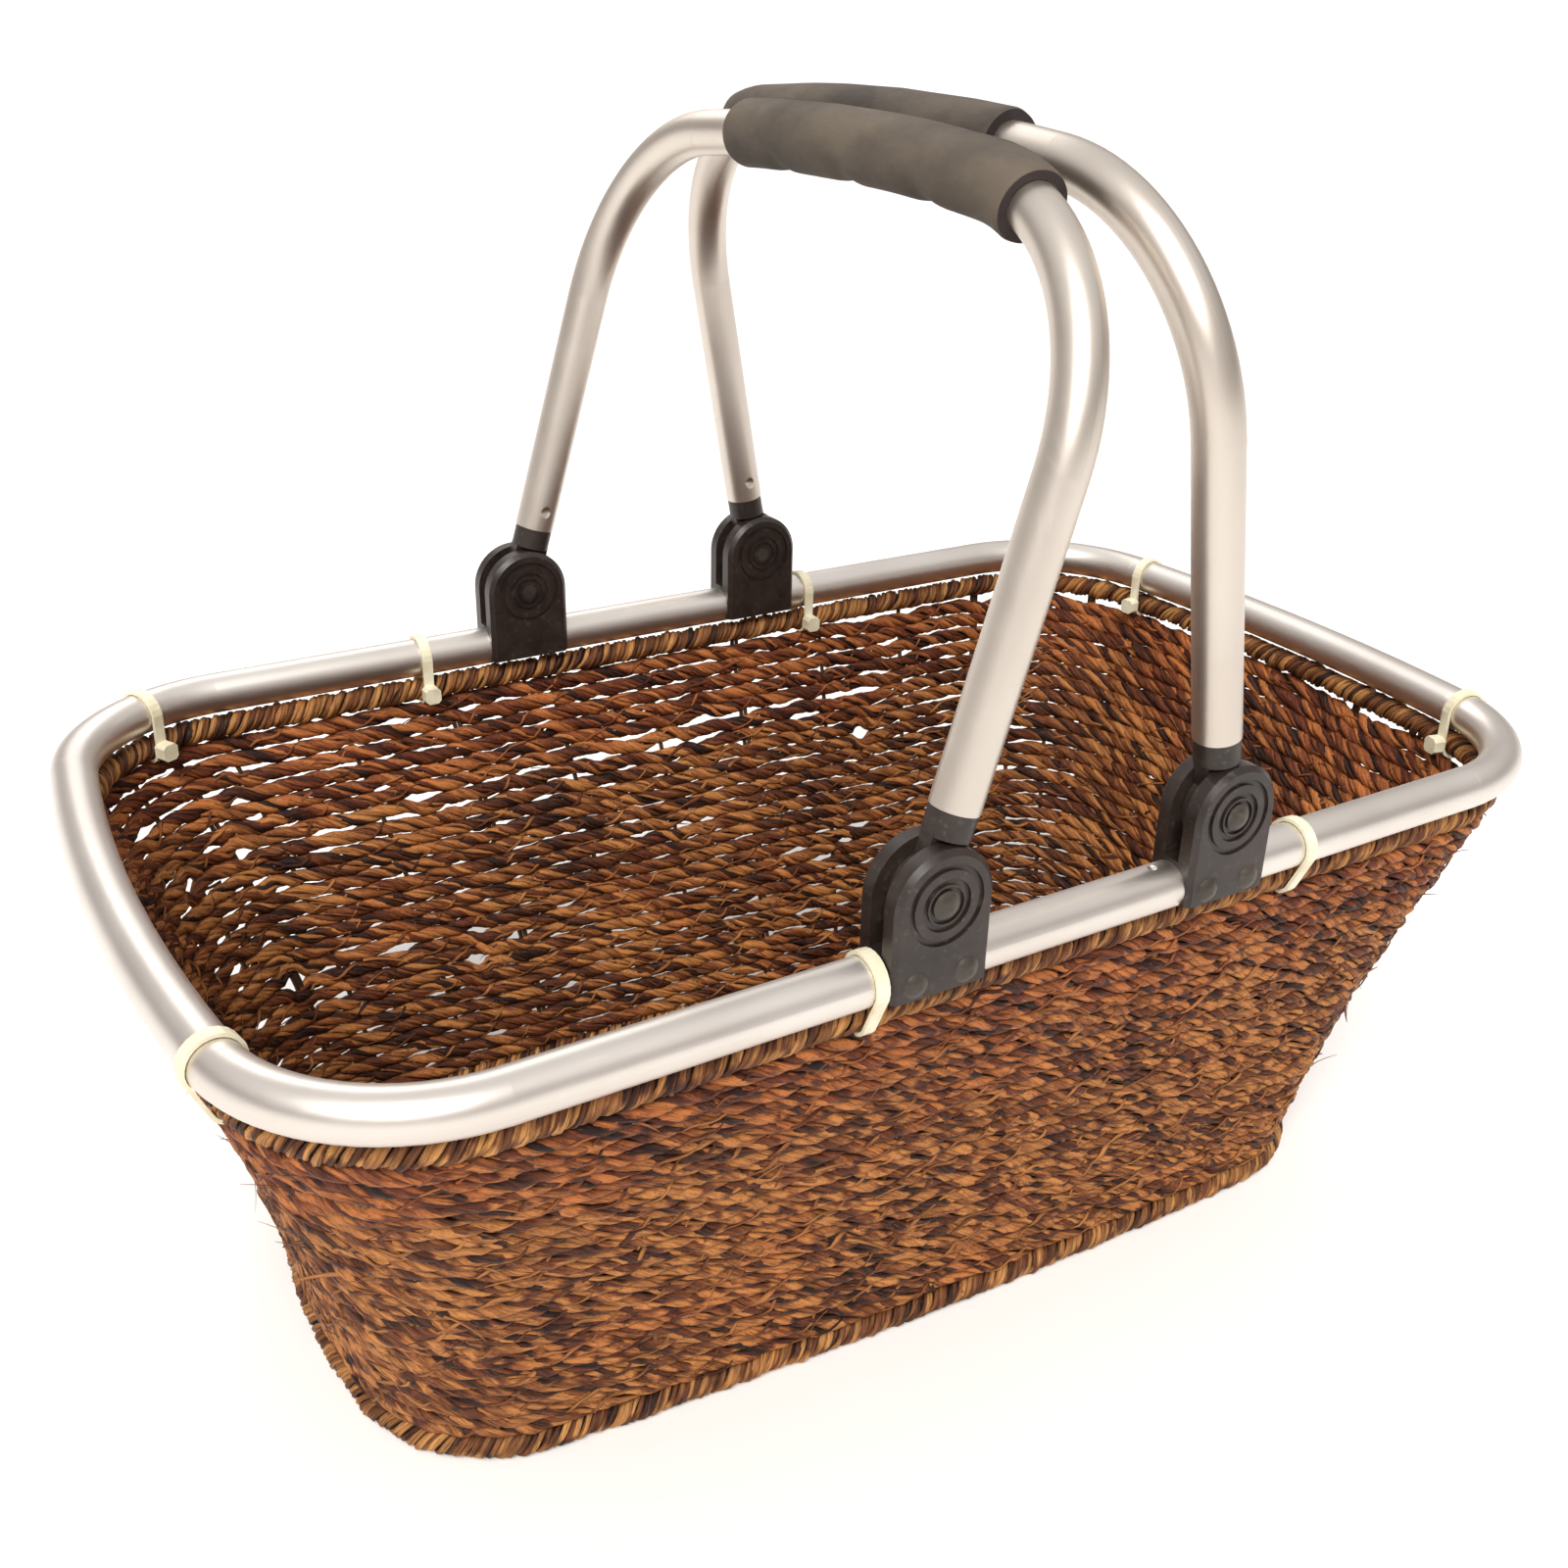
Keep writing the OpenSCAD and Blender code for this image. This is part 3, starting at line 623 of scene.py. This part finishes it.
def plan_slits():
    """Slits between neighbouring rows, centred on the stakes and half way between them:
    how tall each is, half its length, and how far it has slipped along. The last row of
    the plan lies between the top rope and the wrap."""
    ring = wall_ring(1.0)
    at = [round(j * len(ring) / SLIT_PLACES) for j in range(SLIT_PLACES)]
    x, y = ring[at, 0], ring[at, 1]
    gap = np.arange(ROWS)[:, None]
    open_rows = np.exp(-((gap - OPEN_GAP - x / OPEN_CLIMB) / OPEN_ROWS_WIDE) ** 2)
    open_rows *= (y > REAR_FROM) * (np.abs(x - OPEN_MIDDLE) < OPEN_REACH)
    tall = chance.exponential(SLIT_HEIGHT, open_rows.shape)
    tall = tall * np.where(x > RIGHT_FROM, RIGHT_SHARE, 1.0)
    tall += open_rows * chance.uniform(*OPEN_HEIGHTS, tall.shape)
    top = np.where((x > TOP_FROM) & (y > REAR_FROM) | (x > RIGHT_FROM), TOP_WIDE, TOP_SHUT)
    tall[-1] = chance.uniform(0, 1, SLIT_PLACES) * top
    half = chance.uniform(*SLIT_HALVES, tall.shape) + OPEN_HALF * open_rows
    half[-1] += TOP_HALF
    return tall, half, chance.normal(0, SLIT_SLIP, tall.shape)


def slit_push(row, count, length, plan):
    """How far the slits above and below push a row up the wall, along the row."""
    way = ring_way(wall_ring((row + 0.5) / ROWS))
    centres = [way[round(j * (len(way) - 1) / SLIT_PLACES)] for j in range(SLIT_PLACES)]
    at = np.linspace(0, length, count, endpoint=False)
    push = np.zeros(count)
    for gap in range(max(0, row - SLIT_ROWS), min(ROWS, row + SLIT_ROWS + 1)):
        share = -(1.0 if gap == ROWS - 1 else 0.5) * SLIT_FADE ** (gap - row)
        if gap < row:
            share = 0.5 * SLIT_FADE ** (row - 1 - gap)
        for centre, tall, half, slip in zip(centres, *(part[gap] for part in plan)):
            away = (at - centre - slip + length / 2) % length - length / 2
            push += share * tall * np.exp(-(away / half) ** 4)
    return push


def wall_rows():
    """Ropes of the wall, row by row: neighbours follow each other's long waves, and short
    slits stand open between them where they pass the stakes."""
    plan = plan_slits()
    waves = [(chance.integers(5, 22), chance.uniform(0, ANY_ANGLE), chance.uniform(-0.12, 0.12))
             for _ in range(5)]
    rows = []
    for row in range(ROWS):
        level = (row + 0.5) / ROWS
        ring = wall_ring(level)
        above = wall_ring(min(1.0, level + 0.01)) - wall_ring(max(0.0, level - 0.01))
        length = ring_length(ring)

        def path_of(count, ring=ring, above=above, length=length, row=row):
            path = paced(ring, count)
            along = np.roll(path, -1, axis=0) - path
            along /= np.linalg.norm(along, axis=1, keepdims=True)
            up = paced(ring, count, above)
            up /= np.linalg.norm(up, axis=1, keepdims=True)
            out = np.cross(along, up)
            out /= np.linalg.norm(out, axis=1, keepdims=True)
            inward = min(1.0, min(row, ROWS - 1 - row) / 4)
            turn = np.linspace(0, 2 * math.pi, count, endpoint=False)
            joint = sum(np.sin(n * turn + start + drift * row) for n, start, drift in waves)
            lift = wander(count, 14, ROW_WAVE) + wander(count, 44, 0.6 * ROW_WAVE)
            lift = inward * (lift + JOINT_WAVE * joint / 3) + slit_push(row, count, length, plan)
            lift += TOP_LIFT * max(0.0, row - ROWS + 4) / 3
            if row == 0:
                lift = np.maximum(lift, -0.5)
            sway = wander(count, 22, 0.35)
            return path + up * lift[:, None] + out * sway[:, None], out, up

        thick = 1 + UPPER_SWELL * level
        rows.append(rope(path_of, length, strand_r=STRAND_R * thick,
                         reach=[thick * side for side in ROPE_REACH]))
    return rows


WRAP_STARTS = 6
WRAP_SAMPLES = 12
WRAP_STRAND_R = 1.15
TOP_WRAP_PITCH = 2.2
BASE_WRAP_PITCH = 2.3
CORE_POINTS = 400
CORE_INSET = 1.7


def wrap_strands(ring, radius, pitch):
    """Blades wound slantwise side by side round a hoop, some riding up over others, over a
    core in the darkest strand shade, which is painted shade showing through the gaps."""
    length = ring_length(ring)
    turns = round(length / (WRAP_STARTS * pitch))
    count = turns * WRAP_SAMPLES
    path = paced(ring, count)
    out = outward(path)
    up = np.tile([0.0, 0.0, 1.0], (count, 1))
    made = []
    slip = wander(count, length / 40, 0.5)
    for k in range(WRAP_STARTS):
        start = slip + 2 * math.pi * k / WRAP_STARTS + wander(count, length / 25, 0.34)
        angle = (2 * math.pi * turns * np.arange(count) / count + start)[:, None]
        radial = np.cos(angle) * out + np.sin(angle) * up
        swell = 1 + wander(count, length / 16, 0.2) + wander(count, length / 6, 0.2)
        leaf = np.floor(angle[:, 0] / (2 * math.pi)).astype(int)
        tints = chance.uniform(-0.3, 0.3, leaf.max() - leaf.min() + 1)
        shade = np.clip(0.5 + wander(count, 12, 0.2) + tints[leaf - leaf.min()], 0, 1)
        reach = radius - WRAP_STRAND_R + wander(count, length / 18, 0.45)[:, None]
        made.append(strand(path + reach * radial, WRAP_STRAND_R * swell, radial, flat=0.95,
                           wide=1.05, shade=shade))
    # painted shade: a core drawn with the lowest strand shade, so the gaps between the blades read
    # dark
    core_path = paced(ring, CORE_POINTS)
    made.append(strand(core_path, np.full(CORE_POINTS, radius - CORE_INSET),
                       outward(core_path), flat=1.0, wide=1.0, shade=np.zeros(CORE_POINTS)))
    return made


def add_wraps():
    top = draw_strands("top_wrap_strands", wrap_strands(
        level_ring(TOP_RING, HOOP_HEIGHT), TOP_WRAP_R, TOP_WRAP_PITCH))
    base = draw_strands("base_wrap_strands", wrap_strands(
        level_ring(BASE_RING, BASE_HOOP_HEIGHT), BASE_WRAP_R, BASE_WRAP_PITCH))
    for piece, node in ((top, "top_wrap"), (base, "base_wrap")):
        piece.data.materials.append(WRAP_GRASS)
        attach(piece, "basket")
        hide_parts(node)


ROWS_PER_BAND = 3


def add_wall():
    """The wall in level bands of a few rows each, numbered from the base up."""
    rows = wall_rows()
    for band, first in enumerate(range(0, ROWS, ROWS_PER_BAND), 1):
        strands = [s for row in rows[first:first + ROWS_PER_BAND] for s in row]
        piece = draw_strands(f"wall_ropes_{band}", strands)
        piece.data.materials.append(WALL_GRASS)
        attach(piece, "basket")
        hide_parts("wall_weave")


STAKES = 40
STAKE_R = 1.0
STAKE_LEVELS = 14
TWIN_OFFSET = 1.05
STAKE_SWAY = 0.2


def add_stakes():
    """Upright reeds from the base to the top hoop, every third of them a pair."""
    levels = np.linspace(0, 1, STAKE_LEVELS)
    rings = [wall_ring(s) for s in levels]
    made = []
    for k in range(STAKES):
        at = round(k * len(BASE_RING) / STAKES)
        line = np.array([ring[at] for ring in rings])
        head = level_ring(TOP_RING, HOOP_HEIGHT)[at]
        line = np.vstack([line, head])
        out = outward(rings[0])[at]
        for twin in ((0.0,) if k % 3 else (-1.0, 1.0)):
            side = np.array([-out[1], out[0], 0.0]) * twin * TWIN_OFFSET
            sway = np.outer(np.sin(np.arange(len(line)) * 1.9 + k), out) * STAKE_SWAY
            radii = STAKE_R * (1 + chance.uniform(-0.1, 0.1, len(line)))
            made.append(strand(line + side + sway, radii, np.tile(out, (len(line), 1)),
                               flat=1.0, wide=1.0, closed=False,
                               shade=np.full(len(line), chance.uniform(0.35, 1.0))))
    piece = draw_strands("reed_stakes", made, 2)
    piece.data.materials.append(STAKE_REED)
    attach(piece, "basket")
    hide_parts("stakes")


BASE_ROW_PITCH = 6.0
BASE_ROPE_HEIGHT = 3.1
BASE_STRAND_R = 1.7
BASE_ROPE_REACH = (1.1, 1.4)
BASE_SAMPLES = 7
BASE_SIDE_GAP = 0.6
BASE_END_GAP = 0.8


def add_base():
    """Rows of rope side by side across the base, cut to the base hoop's outline."""
    edge = turned(BASE_RING, -BASE_TURN)
    inner_b = BASE_B - BASE_WRAP_R - BASE_SIDE_GAP
    made = []
    rows = int(2 * inner_b / BASE_ROW_PITCH)
    pitch = 2 * inner_b / rows
    half_edge = edge[edge[:, 0] > 0]
    order = np.argsort(half_edge[:, 1])
    for row in range(rows):
        y = -inner_b + (row + 0.5) * pitch
        reach = np.interp(y * BASE_B / inner_b, half_edge[order, 1], half_edge[order, 0])
        reach -= BASE_WRAP_R + BASE_END_GAP

        def path_of(count, y=y, reach=reach):
            x = np.linspace(-reach, reach, count)
            flat = np.stack([x, np.full(count, y) + wander(count, 6, 0.25)], 1)
            path = np.column_stack([turned(flat, BASE_TURN), np.full(count, BASE_ROPE_HEIGHT)])
            out = np.tile([0.0, 0.0, 1.0], (count, 1))
            side = np.array([-math.sin(BASE_TURN), math.cos(BASE_TURN), 0.0])
            return path, out, np.tile(side, (count, 1))

        made += rope(path_of, 2 * reach, samples=BASE_SAMPLES, closed=False,
                     strand_r=BASE_STRAND_R, reach=BASE_ROPE_REACH, blades=BLADES[::2])
    piece = draw_strands("base_ropes", made)
    piece.data.materials.append(WALL_GRASS)
    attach(piece, "basket")
    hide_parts("base_weave")


LOOSE_ENDS = 420
LOOSE_LENGTHS = (6, 17)
LOOSE_POINTS = 6
LOOSE_START = 2.4
LOOSE_OUTSIDE = 0.72
LOOSE_R = (0.22, 0.3, 0.5, 0.8)
LOOSE_ODDS = (0.4, 0.3, 0.2, 0.1)


def add_loose_ends():
    """Short fibres and leaf tips that have sprung out of the weave."""
    made = []
    for _ in range(LOOSE_ENDS):
        level = chance.uniform(0.02, 0.98)
        ring = wall_ring(level)
        at = int(chance.integers(0, len(ring)))
        out = outward(ring)[at] * (1 if chance.uniform() < LOOSE_OUTSIDE else -1)
        ahead = ring[(at + 1) % len(ring)] - ring[at]
        ahead /= np.linalg.norm(ahead)
        way = ahead * chance.choice([-1, 1]) + np.array([0, 0, chance.uniform(-0.5, 0.35)])
        way /= np.linalg.norm(way)
        length = chance.uniform(*LOOSE_LENGTHS)
        spring = chance.uniform(0.1, 0.36)
        t = np.linspace(0, 1, LOOSE_POINTS)[:, None]
        line = ring[at] + out * LOOSE_START + way * length * t + out * spring * length * t ** 1.6
        line[:, 2] += chance.uniform(-2.5, 1.5) * t[:, 0] ** 2
        thick = chance.choice(LOOSE_R, p=LOOSE_ODDS)
        radii = thick * (1.05 - t[:, 0]) ** 0.5
        made.append(strand(line, radii, np.tile(out, (LOOSE_POINTS, 1)), flat=0.5,
                           closed=False,
                           shade=np.full(LOOSE_POINTS, chance.uniform(0.3, 1.0))))
    piece = draw_strands("loose_fibres", made, 0)
    piece.data.materials.append(WALL_GRASS)
    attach(piece, "basket")


# ---------- foam grips ----------

GRIP_AROUND = 48
GRIP_STEP = 1.6
GRIP_ROUNDING = 0.5
# each grip's ends along its handle, and its dents: place, width, depth
LEFT_GRIP = (-100.5, 52.5)
LEFT_DENTS = [(25, 4.5, 1.0), (-14, 4.5, 1.1), (-57, 5.0, 1.1)]
RIGHT_GRIP = (-58.5, 94.5)
RIGHT_DENTS = [(56, 5.0, 0.9), (16, 4.5, 0.9), (-24, 5.0, 0.9)]
# the cut end turns into the bore: depth from the end, and how much wider than the bore
BORE_STEPS = ((5.0, 0.0), (0.3, 0.0), (0.0, 0.3))
CROWN_Y = RIM_B - SHOULDER_R * (1 - math.sin(CROWN_ANGLE))
CROWN_R = CROWN_Y / math.sin(CROWN_ANGLE)
SHOULDER_Z = HANDLE_HEIGHT - CROWN_R * (1 - math.cos(CROWN_ANGLE)) \
    - SHOULDER_R * math.cos(CROWN_ANGLE)


def handle_line(y):
    """Height over the pivot line of a handle's centre line at y, and its slope angle."""
    if abs(y) <= CROWN_Y:
        angle = math.asin(y / CROWN_R)
        return HANDLE_HEIGHT - CROWN_R * (1 - math.cos(angle)), angle
    angle = math.asin((abs(y) - RIM_B + SHOULDER_R) / SHOULDER_R)
    return SHOULDER_Z + SHOULDER_R * math.cos(angle), math.copysign(angle, y)


def add_grip(side, lean, low, high, dents):
    """Foam sleeve on a handle from y = low to high. dents are (place, width, depth) of the
    folds across its underside, with a soft bulge between them."""
    up = Vector((-side * math.sin(lean), 0, math.cos(lean)))
    level = Vector((math.cos(lean), 0, side * math.sin(lean)))
    count = round((high - low) / GRIP_STEP)
    stations = []
    for k in range(count + 1):
        y = low + (high - low) * k / count
        from_end = min(y - low, high - y)
        rounding = 0.0
        if from_end < GRIP_ROUNDING:
            away = GRIP_ROUNDING - from_end
            rounding = GRIP_ROUNDING - math.sqrt(GRIP_ROUNDING ** 2 - away ** 2)
        stations.append((y, GRIP_R - rounding))
    bore = [(depth, GRIP_BORE_R + wider) for depth, wider in BORE_STEPS]
    profile = [(low + depth, radius) for depth, radius in bore] + stations
    profile += [(high - depth, radius) for depth, radius in reversed(bore)]
    cut_steps = (len(bore), len(bore) + len(stations))
    form = bmesh.new()
    for step, (y, radius) in enumerate(profile):
        z, angle = handle_line(y)
        centre = Vector((side * PIVOT_X, 0, PIVOT_HEIGHT)) + up * z + Vector((0, y, 0))
        over = up * math.cos(angle) + Vector((0, math.sin(angle), 0))
        if step == 0:
            made = bmesh.ops.create_circle(form, segments=GRIP_AROUND, radius=radius)
            ring = made["verts"]
            edges = list(form.edges)
        else:
            made = bmesh.ops.extrude_edge_only(form, edges=edges)["geom"]
            ring = [g for g in made if isinstance(g, bmesh.types.BMVert)]
            edges = [g for g in made if isinstance(g, bmesh.types.BMEdge)
                     and g.verts[0] in ring and g.verts[1] in ring]
            for face in (g for g in made if isinstance(g, bmesh.types.BMFace)):
                face.smooth = step not in cut_steps
                face.material_index = int(step in cut_steps)
        for k, vertex in enumerate(ring):
            around = 2 * math.pi * k / GRIP_AROUND
            under = max(0.0, -math.cos(around))
            soft = 0.12 * math.sin(y / 9.0 + 2 * around) + 0.10 * math.sin(y / 23.0 - around)
            wrinkle = sum(depth * under ** 1.3 * math.exp(-((y - place) / width) ** 2)
                          for place, width, depth in dents)
            size = radius
            if radius > GRIP_BORE_R + 1:
                size = radius - wrinkle - abs(soft)
            direction = over * math.cos(around) + level * math.sin(around)
            vertex.co = (centre + direction * size) * METRES
    bmesh.ops.recalc_face_normals(form, faces=form.faces)
    word = "left" if side < 0 else "right"
    mesh = bpy.data.meshes.new(f"foam_grip_{word}")
    form.to_mesh(mesh)
    form.free()
    piece = linked(mesh.name, mesh)
    mesh.materials.append(GRIP_FOAM)
    mesh.materials.append(CUT_FOAM)
    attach(piece, f"handle_{word}")
    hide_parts(f"grip_{word}")


# ---------- cable ties ----------

TIE_EDGE = 0.28
SHARP_FROM = math.radians(40)
FLAT_WITHIN = math.radians(2)


def add_ties():
    """The ties of the part, with their sharp edges rounded."""
    form = bmesh.new()
    form.from_mesh(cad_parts["cable_ties"].data)
    bmesh.ops.remove_doubles(form, verts=form.verts, dist=1e-6)
    bmesh.ops.dissolve_limit(form, angle_limit=FLAT_WITHIN, verts=form.verts,
                             edges=form.edges)
    bmesh.ops.recalc_face_normals(form, faces=form.faces)
    sharp = [e for e in form.edges if e.is_manifold and e.calc_face_angle(0) > SHARP_FROM]
    bmesh.ops.bevel(form, geom=sharp, offset=TIE_EDGE * METRES, offset_type="OFFSET",
                    affect="EDGES", segments=2, profile=0.5, material=-1, clamp_overlap=True)
    mesh = bpy.data.meshes.new("nylon_ties")
    form.to_mesh(mesh)
    form.free()
    piece = linked("nylon_ties", mesh)
    mesh.materials.append(TIE_NYLON)
    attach(piece, "basket")
    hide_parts("cable_ties")


# ---------- floor and light ----------

FLOOR_R = 60
FLOOR_SIDES = 96
SUN_SPREAD = math.radians(28)
ROOM_STRENGTH = 0.9
# light of the room from the horizon up, by height on a sphere of radius 1
ROOM_STOPS = ((0.0, (1.2, 1.2, 1.2)), (0.03, (1.2, 1.2, 1.2)), (0.07, (0.36, 0.31, 0.29)),
              (0.32, (0.46, 0.42, 0.40)), (0.6, (0.9, 0.88, 0.86)), (1.0, (0.95, 0.94, 0.93)))
WARM_WHITE = (1.0, 0.97, 0.93)


def add_floor():
    f = Finish("pale_floor")
    mottle = f.noise(f.place(), 3.0, 2.0, 0.5)
    tone = f.mixed(mottle, (0.90, 0.895, 0.885), (0.93, 0.925, 0.915))
    f.finish(base_color=tone, roughness=0.9, specular_ior_level=0.1)
    form = bmesh.new()
    bmesh.ops.create_circle(form, cap_ends=True, segments=FLOOR_SIDES, radius=FLOOR_R)
    mesh = bpy.data.meshes.new("floor")
    form.to_mesh(mesh)
    form.free()
    floor = linked("floor", mesh)
    mesh.materials.append(f.material)


def add_light(name, place, aim, size, power, colour):
    data = bpy.data.lights.new(name, "AREA")
    data.shape = "RECTANGLE"
    data.size, data.size_y = size
    data.energy = power
    data.color = colour
    light = linked(name, data)
    light.location = place
    light.rotation_euler = (Vector(aim) - Vector(place)).to_track_quat("-Z", "Y").to_euler()


def add_sun(toward, power, colour):
    """Even soft light over the whole floor, from the given direction."""
    data = bpy.data.lights.new("overhead", "SUN")
    data.energy = power
    data.angle = SUN_SPREAD
    data.color = colour
    light = linked("overhead", data)
    light.rotation_euler = (-Vector(toward)).to_track_quat("-Z", "Y").to_euler()


def add_room():
    """Soft white room: bright at the horizon and overhead, a darker warm band between."""
    world = bpy.data.worlds.new("room")
    bpy.context.scene.world = world
    world.use_nodes = True
    tree = world.node_tree
    spot = tree.nodes.new("ShaderNodeTexCoord")
    split = tree.nodes.new("ShaderNodeSeparateXYZ")
    ramp = tree.nodes.new("ShaderNodeValToRGB")
    set_stops(ramp.color_ramp, ROOM_STOPS)
    tree.links.new(spot.outputs["Generated"], split.inputs[0])
    tree.links.new(split.outputs["Z"], ramp.inputs[0])
    back = tree.nodes["Background"]
    tree.links.new(ramp.outputs[0], back.inputs["Color"])
    back.inputs["Strength"].default_value = ROOM_STRENGTH


# ---------- the scene ----------

add_camera()
add_floor()
add_room()
add_sun((-0.55, -0.8, 1.15), 2.3, WARM_WHITE)
add_light("soft_box", (-1.1, -1.3, 1.7), (0, 0, 0.15), (1.2, 1.2), 14, WARM_WHITE)
add_light("back_box", (0.3, 1.9, 1.7), (0, 0, 0.2), (1.6, 1.0), 10, (1.0, 0.98, 0.95))
bpy.context.scene.view_settings.view_transform = "Standard"

WALL_GRASS = dried_seagrass("wall_seagrass", (0.014, 0.0035, 0.002), (0.145, 0.037, 0.010),
                            (0.51, 0.204, 0.056), (0.90, 0.25, 0.13), 0.11)
WRAP_GRASS = dried_seagrass("wrap_seagrass", (0.018, 0.005, 0.0025), (0.150, 0.048, 0.014),
                            (0.56, 0.265, 0.080), (0.80, 0.32, 0.18), 0.17)
STAKE_REED = dried_seagrass("stake_reed", (0.045, 0.016, 0.006), (0.15, 0.062, 0.018),
                            (0.30, 0.155, 0.045), (0.8, 0.4, 0.25), 0.5)
GRIP_FOAM = closed_cell_foam("foam_skin", (0.050, 0.040, 0.032), (0.122, 0.097, 0.072))
CUT_FOAM = closed_cell_foam("cut_foam", (0.016, 0.011, 0.011), (0.036, 0.026, 0.026))
TIE_NYLON = natural_nylon()

RIM_TONES = (0.72, 0.665, 0.615), (0.79, 0.745, 0.70)
HANDLE_TONES = (0.63, 0.565, 0.50), (0.71, 0.65, 0.585)

node_finishes = {
    "rim_tube": satin_aluminium("rim_aluminium", (30.0, 260.0, 900.0), *RIM_TONES),
    "handle_tube_left": satin_aluminium("left_handle_aluminium", (700.0, 60.0, 60.0),
                                        *HANDLE_TONES),
    "handle_tube_right": satin_aluminium("right_handle_aluminium", (700.0, 60.0, 60.0),
                                         *HANDLE_TONES),
    "rim_joiner": satin_aluminium("joiner_aluminium", (60.0, 900.0, 900.0), *RIM_TONES),
    "top_hoop": drawn_wire(),
}
node_finishes["base_hoop"] = node_finishes["top_hoop"]
bracket_black = moulded_plastic("bracket_plastic", (0.015, 0.010, 0.0085),
                                (0.034, 0.023, 0.018), 0.24)
fitting_black = moulded_plastic("fitting_plastic", (0.017, 0.012, 0.010),
                                (0.036, 0.026, 0.021), 0.27)
pin_black = moulded_plastic("pin_plastic", (0.030, 0.024, 0.018), (0.054, 0.043, 0.033), 0.22)
for corner in ("front_left", "front_right", "rear_left", "rear_right"):
    node_finishes[f"bracket_{corner}"] = bracket_black
    node_finishes[f"end_fitting_{corner}"] = fitting_black
node_finishes["bracket_rivets"] = pin_black
node_finishes["pivot_pins"] = pin_black
for node, material in node_finishes.items():
    for material_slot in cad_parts[node].material_slots:
        material_slot.material = material

add_wraps()
add_wall()
add_stakes()
add_base()
add_loose_ends()
add_ties()
add_grip(-1, LEFT_LEAN, *LEFT_GRIP, LEFT_DENTS)
add_grip(1, RIGHT_LEAN, *RIGHT_GRIP, RIGHT_DENTS)
